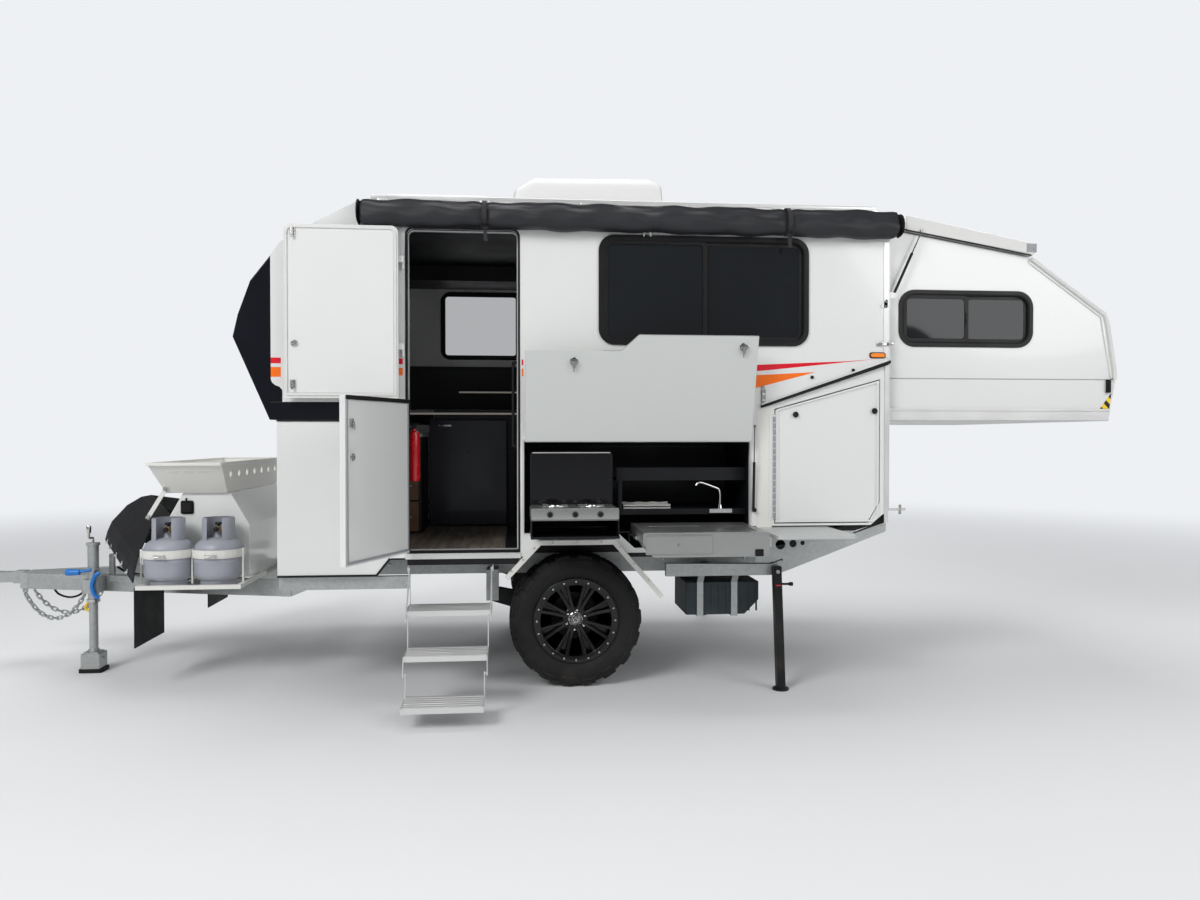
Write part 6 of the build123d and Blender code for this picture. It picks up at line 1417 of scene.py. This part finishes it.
def make_jack():
    """The jack's crank, the blue handles of its clamp, and its shoe, pad and collars."""
    piece("jack_crank", [bent_bar([(*JACK_AT, 857), (*JACK_AT, 884), (-3171, -352, 892), (-3168, -400, 892)], 7,
                12, 5, up=(1, 0, 0)), rod((-3168, -400, 892), (-3168, -400, 930), 7),
            turned([(0, 50), (12, 50), (15, 44), (13, 4), (9, 0)], (-3168, -400, 926), "z", 16)], "zinc_bolt",
        crease=50)
    piece("clamp_handles", [bent_bar([(-3108, -384, 664), (-3132, -392, 646), (-3150, -396, 600),
                    (-3152, -396, 560), (-3136, -392, 514), (-3112, -384, 498)], 13, 12, 6, up=ACROSS),
            joined(rod((-3240, -396, 672), (-3160, -392, 684), 9, 14),
                turned([(0, 0), (20, 8), (23, 26), (19, 92), (0, 100)], (-3322, -396, 670), "x", 16))],
        "lever_blue", crease=50)
    piece("jack_shoe", [turned([(27, 560), (27, 150), (34, 148), (34, 128), (46, 122)], (*JACK_AT, 0), "z", 32),
            brick(-3235, -3111, -390, -270, 26, 124, 10), brick(-3222, -3124, -378, -282, 120, 134, 8),
            rod((-3245, -330, 92), (-3101, -330, 92), 9, 12)], "galvanised", "jack_leg", bevel=2.0,
        replaces=("jack_leg",))
    piece("jack_pad", brick(-3247, -3099, -394, -266, 0.5, 27, 14), "rubber", "jack_leg", bevel=3)
    hoop = ring_line(1, 32)
    piece("jack_collars", [carried(
                np.stack([JACK_AT[0] + r * hoop[:, 0], JACK_AT[1] + r * hoop[:, 1], np.full(32, z)], 1),
                np.array(oblong(-3, -h, 3, h), float), closed=True)
            for r, z, h in ((38.5, 472, 9), (36, 660, 3), (36, 676, 3))], "zinc_bolt", crease=40)


def make_hitch():
    """The yellow hooks, the chains' shackles, and the cable that hangs along the drawbar."""
    piece("chain_hook", bent_bar([(-3352, -156, 566), (-3362, -158, 548), (-3378, -158, 540),
                (-3392, -156, 548), (-3390, -154, 566), (-3376, -153, 572)], 6.5, 12, 6, up=ACROSS),
        "hook_yellow", crease=60)
    piece("near_hook", bent_bar([(-3222, -240, 474), (-3236, -242, 452), (-3258, -242, 426), (-3264, -240, 404),
                (-3248, -240, 390), (-3230, -240, 400), (-3228, -240, 416)], 9, 12, 6, up=ACROSS),
        "hook_yellow", crease=60)
    cable("drawbar_cable", [(-3560, -60, 560), (-3546, -70, 512), (-3508, -80, 474), (-3440, -82, 454),
            (-3374, -80, 470), (-3344, -70, 512), (-3330, -60, 560)], 7)
    piece("chain_shackles", [bent_bar([(x - 13, s * y, 566), (x - 15, s * y, 546), (x, s * y, 532),
                    (x + 15, s * y, 546), (x + 13, s * y, 566)], 5.5, 10, 6, up=ACROSS)
            for x, y in ((-3312, 150), (-3740, 62)) for s in (-1, 1)], "zinc_bolt", crease=60)


# ---------------------------------------------------------------- below the body
def make_underbody():
    """Bolts along the arch strips and rails, tank straps and ribs, the legs' red pulls and knobs, and the
    brake loom."""
    piece("arch_bolts", screws([(-400, -1125, 745), (-330, -1125, 815), (-262, -1125, 884), (-150, -1125, 915),
                (0, -1125, 915), (150, -1125, 915), (262, -1125, 882), (350, -1125, 782), (440, -1125, 678)],
            "y", 7, -4), "zinc_bolt", twin=True)
    piece("tank_straps", [ribbon(laid(np.array(
                        [(-575, 640), (-640, 426), (-980, 426), (-992, 440), (-992, 640), (-992, 660)], float),
                    "x", x), 34.0, 3.0) for x in (790.0, 1010.0)], "chassis_black", bevel=0.8)
    piece("tank_ribs", [plate((x, 452, x + 12, 622, 4), "y", -985, -989) for x in range(716, 1150, 48)],
        "tank_grey", bevel=1.5)
    for hand, twin in SIDES:
        body = "stabiliser_" + hand
        piece(body + "_collar", twin(brick(1236, 1272, -1137, -1124, 612, 640, 4)), "alarm_red", body, bevel=2)
        piece(body + "_pull", twin(joined(rod((1286, -1110, 640), (1330, -1116, 640), 7, 12),
                    turned([(0, 0), (12, 4), (12, 26), (0, 30)], (1326, -1116, 640), "x", 14))), "rubber", body,
            crease=50)
    piece("rail_bolts", [screws([(x, -585.5, z)], "y", 11, -8)
            for x, z in ((-1700, 720), (-1200, 720), (-600, 720), (-60, 735), (620, 735), (1180, 735))],
        "zinc_bolt", twin=True)
    cable("brake_loom", [(-3120, -90, 660), (-3060, -96, 628), (-2960, -98, 606), (-2860, -98, 612),
            (-2760, -96, 640), (-2700, -94, 656)], 8)


# ---------------------------------------------------------------- cabin
def make_cabin():
    """What the doorway and the windows show: overhead and low cupboards, the fridge, light strips, timber
    drawers with a worktop, the extinguisher and the far wall's lining."""
    piece("overhead_cupboards",
        [brick(-1270, 470, 640, 1064, 2800, 2920, 8), plate((-1280, -1040, 480, 1040, 10), "z", 2924, 2929)],
        "cabin_charcoal", bevel=2)
    piece("cupboard_rims",
        [rim_plate((x, 890, x + 300, 1480), 8, (14, 9), "y", 417, 410) for x in (-990, -676)], "frame_black",
        bevel=1.0)
    piece("fridge_door", plate((-1030, 886, -440, 1690, 10), "y", 380, 406), "fridge_navy", bevel=4)
    piece("fridge_grip", brick(-960, -860, 366, 382, 1640, 1654, 4), "zinc_bolt", bevel=2)
    piece("cabin_light_strips",
        [brick(-1190, -360, 384, 402, 1732, 1746, 3), brick(-830, -360, 800, 812, 1918, 1930, 3)], "lit_strip",
        bevel=1.5)
    piece("timber_drawers", [plate((-1210, z, -1060, z + 210, 8), "y", -120, -104) for z in (890, 1112, 1334)],
        "drawer_timber", bevel=2.5)
    piece("drawer_carcass", brick(-1230, -1040, -103, 400, 876, 1560, 6), "cabin_charcoal", bevel=3)
    piece("drawer_pulls", [brick(-1160, -1110, -130, -119, z + 96, z + 106, 3) for z in (890, 1112, 1334)],
        "zinc_bolt", bevel=1)
    piece("drawer_worktop", plate((-1236, -130, -1034, 404, 12), "z", 1560, 1584), "lining_pale", bevel=3)
    at = (-1006, -880, 1280)
    tank = turned([(0, 0), (32, 4), (36, 14), (36, 280), (30, 308), (14, 318), (12, 330), (0, 332)], at, "z",
        32)
    head = joined(turned([(14, 330), (16, 352), (10, 360), (0, 360)], at, "z", 20),
        brick(-1031, -971, -888, -872, 1634, 1644, 3), bent_bar(
            [(-1006, -880, 1626), (-1021, -900, 1618), (-1037, -908, 1550), (-1031, -906, 1460)], 6, 10, 6))
    piece("extinguisher", tank, "alarm_red", crease=40)
    piece("extinguisher_head", head, "rubber", crease=50)
    piece("far_lining", brick(-1250, 470, 1046, 1060, 1790, 2150), "cabin_charcoal", bevel=2)


def bevel_frames():
    """Folded and cast parts from the CAD get the small rounded edge that their real ones have: coincident
    corners are welded and edges sharper than 40 degrees are rounded by 1.5 to 3 mm."""
    for name, width in (("kitchen_hatch", 2.0), ("door_upper", 3.0), ("door_lower", 3.0), ("front_box", 5.0),
            ("nose_shell", 4.0), ("drawbar", 3.0), ("stone_guard", 2.0), ("mudflaps", 2.0),
            ("water_tank", 10.0), ("roof_lid", 3.0), ("locker_door_near", 2.5), ("locker_door_far", 2.5),
            ("arch_strips", 2.0), ("lower_front_shell", 3.0)):
        held = NODES[name]
        weld = held.modifiers.new("weld", "WELD")
        weld.merge_threshold = 0.00002
        ease_edges(held, width, 40)


# ---------------------------------------------------------------- stage, light and camera
def make_ground():
    """A pale floor at ground height that goes over to the world's own shade far from the part."""
    floor = bpy.data.meshes.new("ground")
    low = -HITCH_HEIGHT / 1000.0
    floor.from_pydata([(-60, -60, low), (70, -60, low), (70, 70, low), (-60, 70, low)], [], [(0, 1, 2, 3)])
    ground = place_in_scene("ground", floor)
    paint, tree, inputs = new_paint("ground_pale")
    shade = use(tree, "uneven", Colour=(0.74, 0.745, 0.75, 1), Size=0.6, Amount=0.02)["Colour"]
    fill(tree, inputs, {"Base Color": shade, "Roughness": 0.9, "Specular IOR Level": 0.1})
    spot = put(tree, "Mapping", Vector=own_place(tree), Location=(-3.6, -1.0, 0.0)).outputs[0]
    away = ramp(tree, put(tree, "VectorMath", {"operation": "LENGTH"}, Vector=spot).outputs["Value"], 4.5, 17.0)
    fade = sums(tree, "MULTIPLY", away, put(tree, "LightPath").outputs["Is Camera Ray"])
    pale = put(tree, "Emission", Color=(0.855, 0.873, 0.9, 1), Strength=1.0)
    both = tree.nodes.new("ShaderNodeMixShader")
    for number, output in enumerate((fade, tree.nodes["Principled BSDF"].outputs[0], pale.outputs[0])):
        tree.links.new(output, both.inputs[number])
    tree.links.new(both.outputs[0], tree.nodes["Material Output"].inputs["Surface"])
    floor.materials.append(paint)


def make_world():
    """A plain pale world: brighter to the camera and through glass, darker in mirrored light."""
    world = bpy.data.worlds.new("studio")
    bpy.context.scene.world = world
    world.use_nodes = True
    tree = world.node_tree
    back = tree.nodes["Background"]
    rays = put(tree, "LightPath").outputs
    seen = sums(tree, "MAXIMUM", rays["Is Camera Ray"], rays["Is Transmission Ray"])
    level = sums(tree, "MULTIPLY_ADD", seen, 0.45, 0.45)
    tree.links.new(sums(tree, "MULTIPLY_ADD", rays["Is Glossy Ray"], -0.24, level), back.inputs["Strength"])
    back.inputs["Color"].default_value = (0.95, 0.97, 1.0, 1)


def make_lamps():
    """Four soft round lamps: each has its place, the point that it looks at, its size and its power."""
    for name, spot, look, size, power in (
            ("key_lamp", (-2.5, -9.0, 7.5), (3.6, 0, 1.0), 5.0, 740.0),
            ("fill_lamp", (11.0, -8.0, 5.0), (4.5, 0, 1.0), 6.0, 285.0),
            ("top_lamp", (4.0, 1.5, 9.0), (4.0, 0, 1.0), 7.0, 340.0),
            ("back_lamp", (6.0, 9.0, 6.0), (4.0, 0, 1.0), 6.0, 260.0)):
        lamp = bpy.data.lights.new(name, "AREA")
        lamp.shape = "DISK"
        lamp.size = size
        lamp.energy = power
        aim_at(place_in_scene(name, lamp), spot, look)


def aim_at(held, spot, look):
    """Places a lamp and turns its beam, its own -Z, to the point that it looks at."""
    held.location = spot
    held.rotation_euler = (Vector(look) - Vector(spot)).to_track_quat("-Z", "Y").to_euler()


def make_camera():
    """The photograph's view: 27 mm on a 36 mm wide image, a little to the right and hardly downwards."""
    lens = bpy.data.cameras.new("camera")
    lens.lens = 27.0
    lens.sensor_width = 36.0
    lens.clip_end = 300.0
    held = place_in_scene("camera", lens)
    held.location = (3.572, -6.600, 0.970)
    held.rotation_euler = (math.radians(89.17), 0.0, math.radians(-5.4))
    bpy.context.scene.camera = held


make_camera()
make_ground()
make_world()
make_lamps()
make_wheels()
make_windows()
make_awning()
make_bag_fittings()
make_doors()
make_door_frame()
make_hatch()
make_stove()
make_sink()
make_kitchen_back()
make_towel()
make_table()
make_steps()
make_stripes()
wall_trims()
make_latches()
make_roof_unit()
make_roof()
make_pod()
make_struts()
make_bottles()
make_front()
make_jack()
make_hitch()
make_underbody()
make_cabin()
bevel_frames()
NODES["kitchen_hatch"].material_slots[0].material = FINISHES["hatch_grey"]
bpy.context.scene.view_settings.view_transform = "Standard"
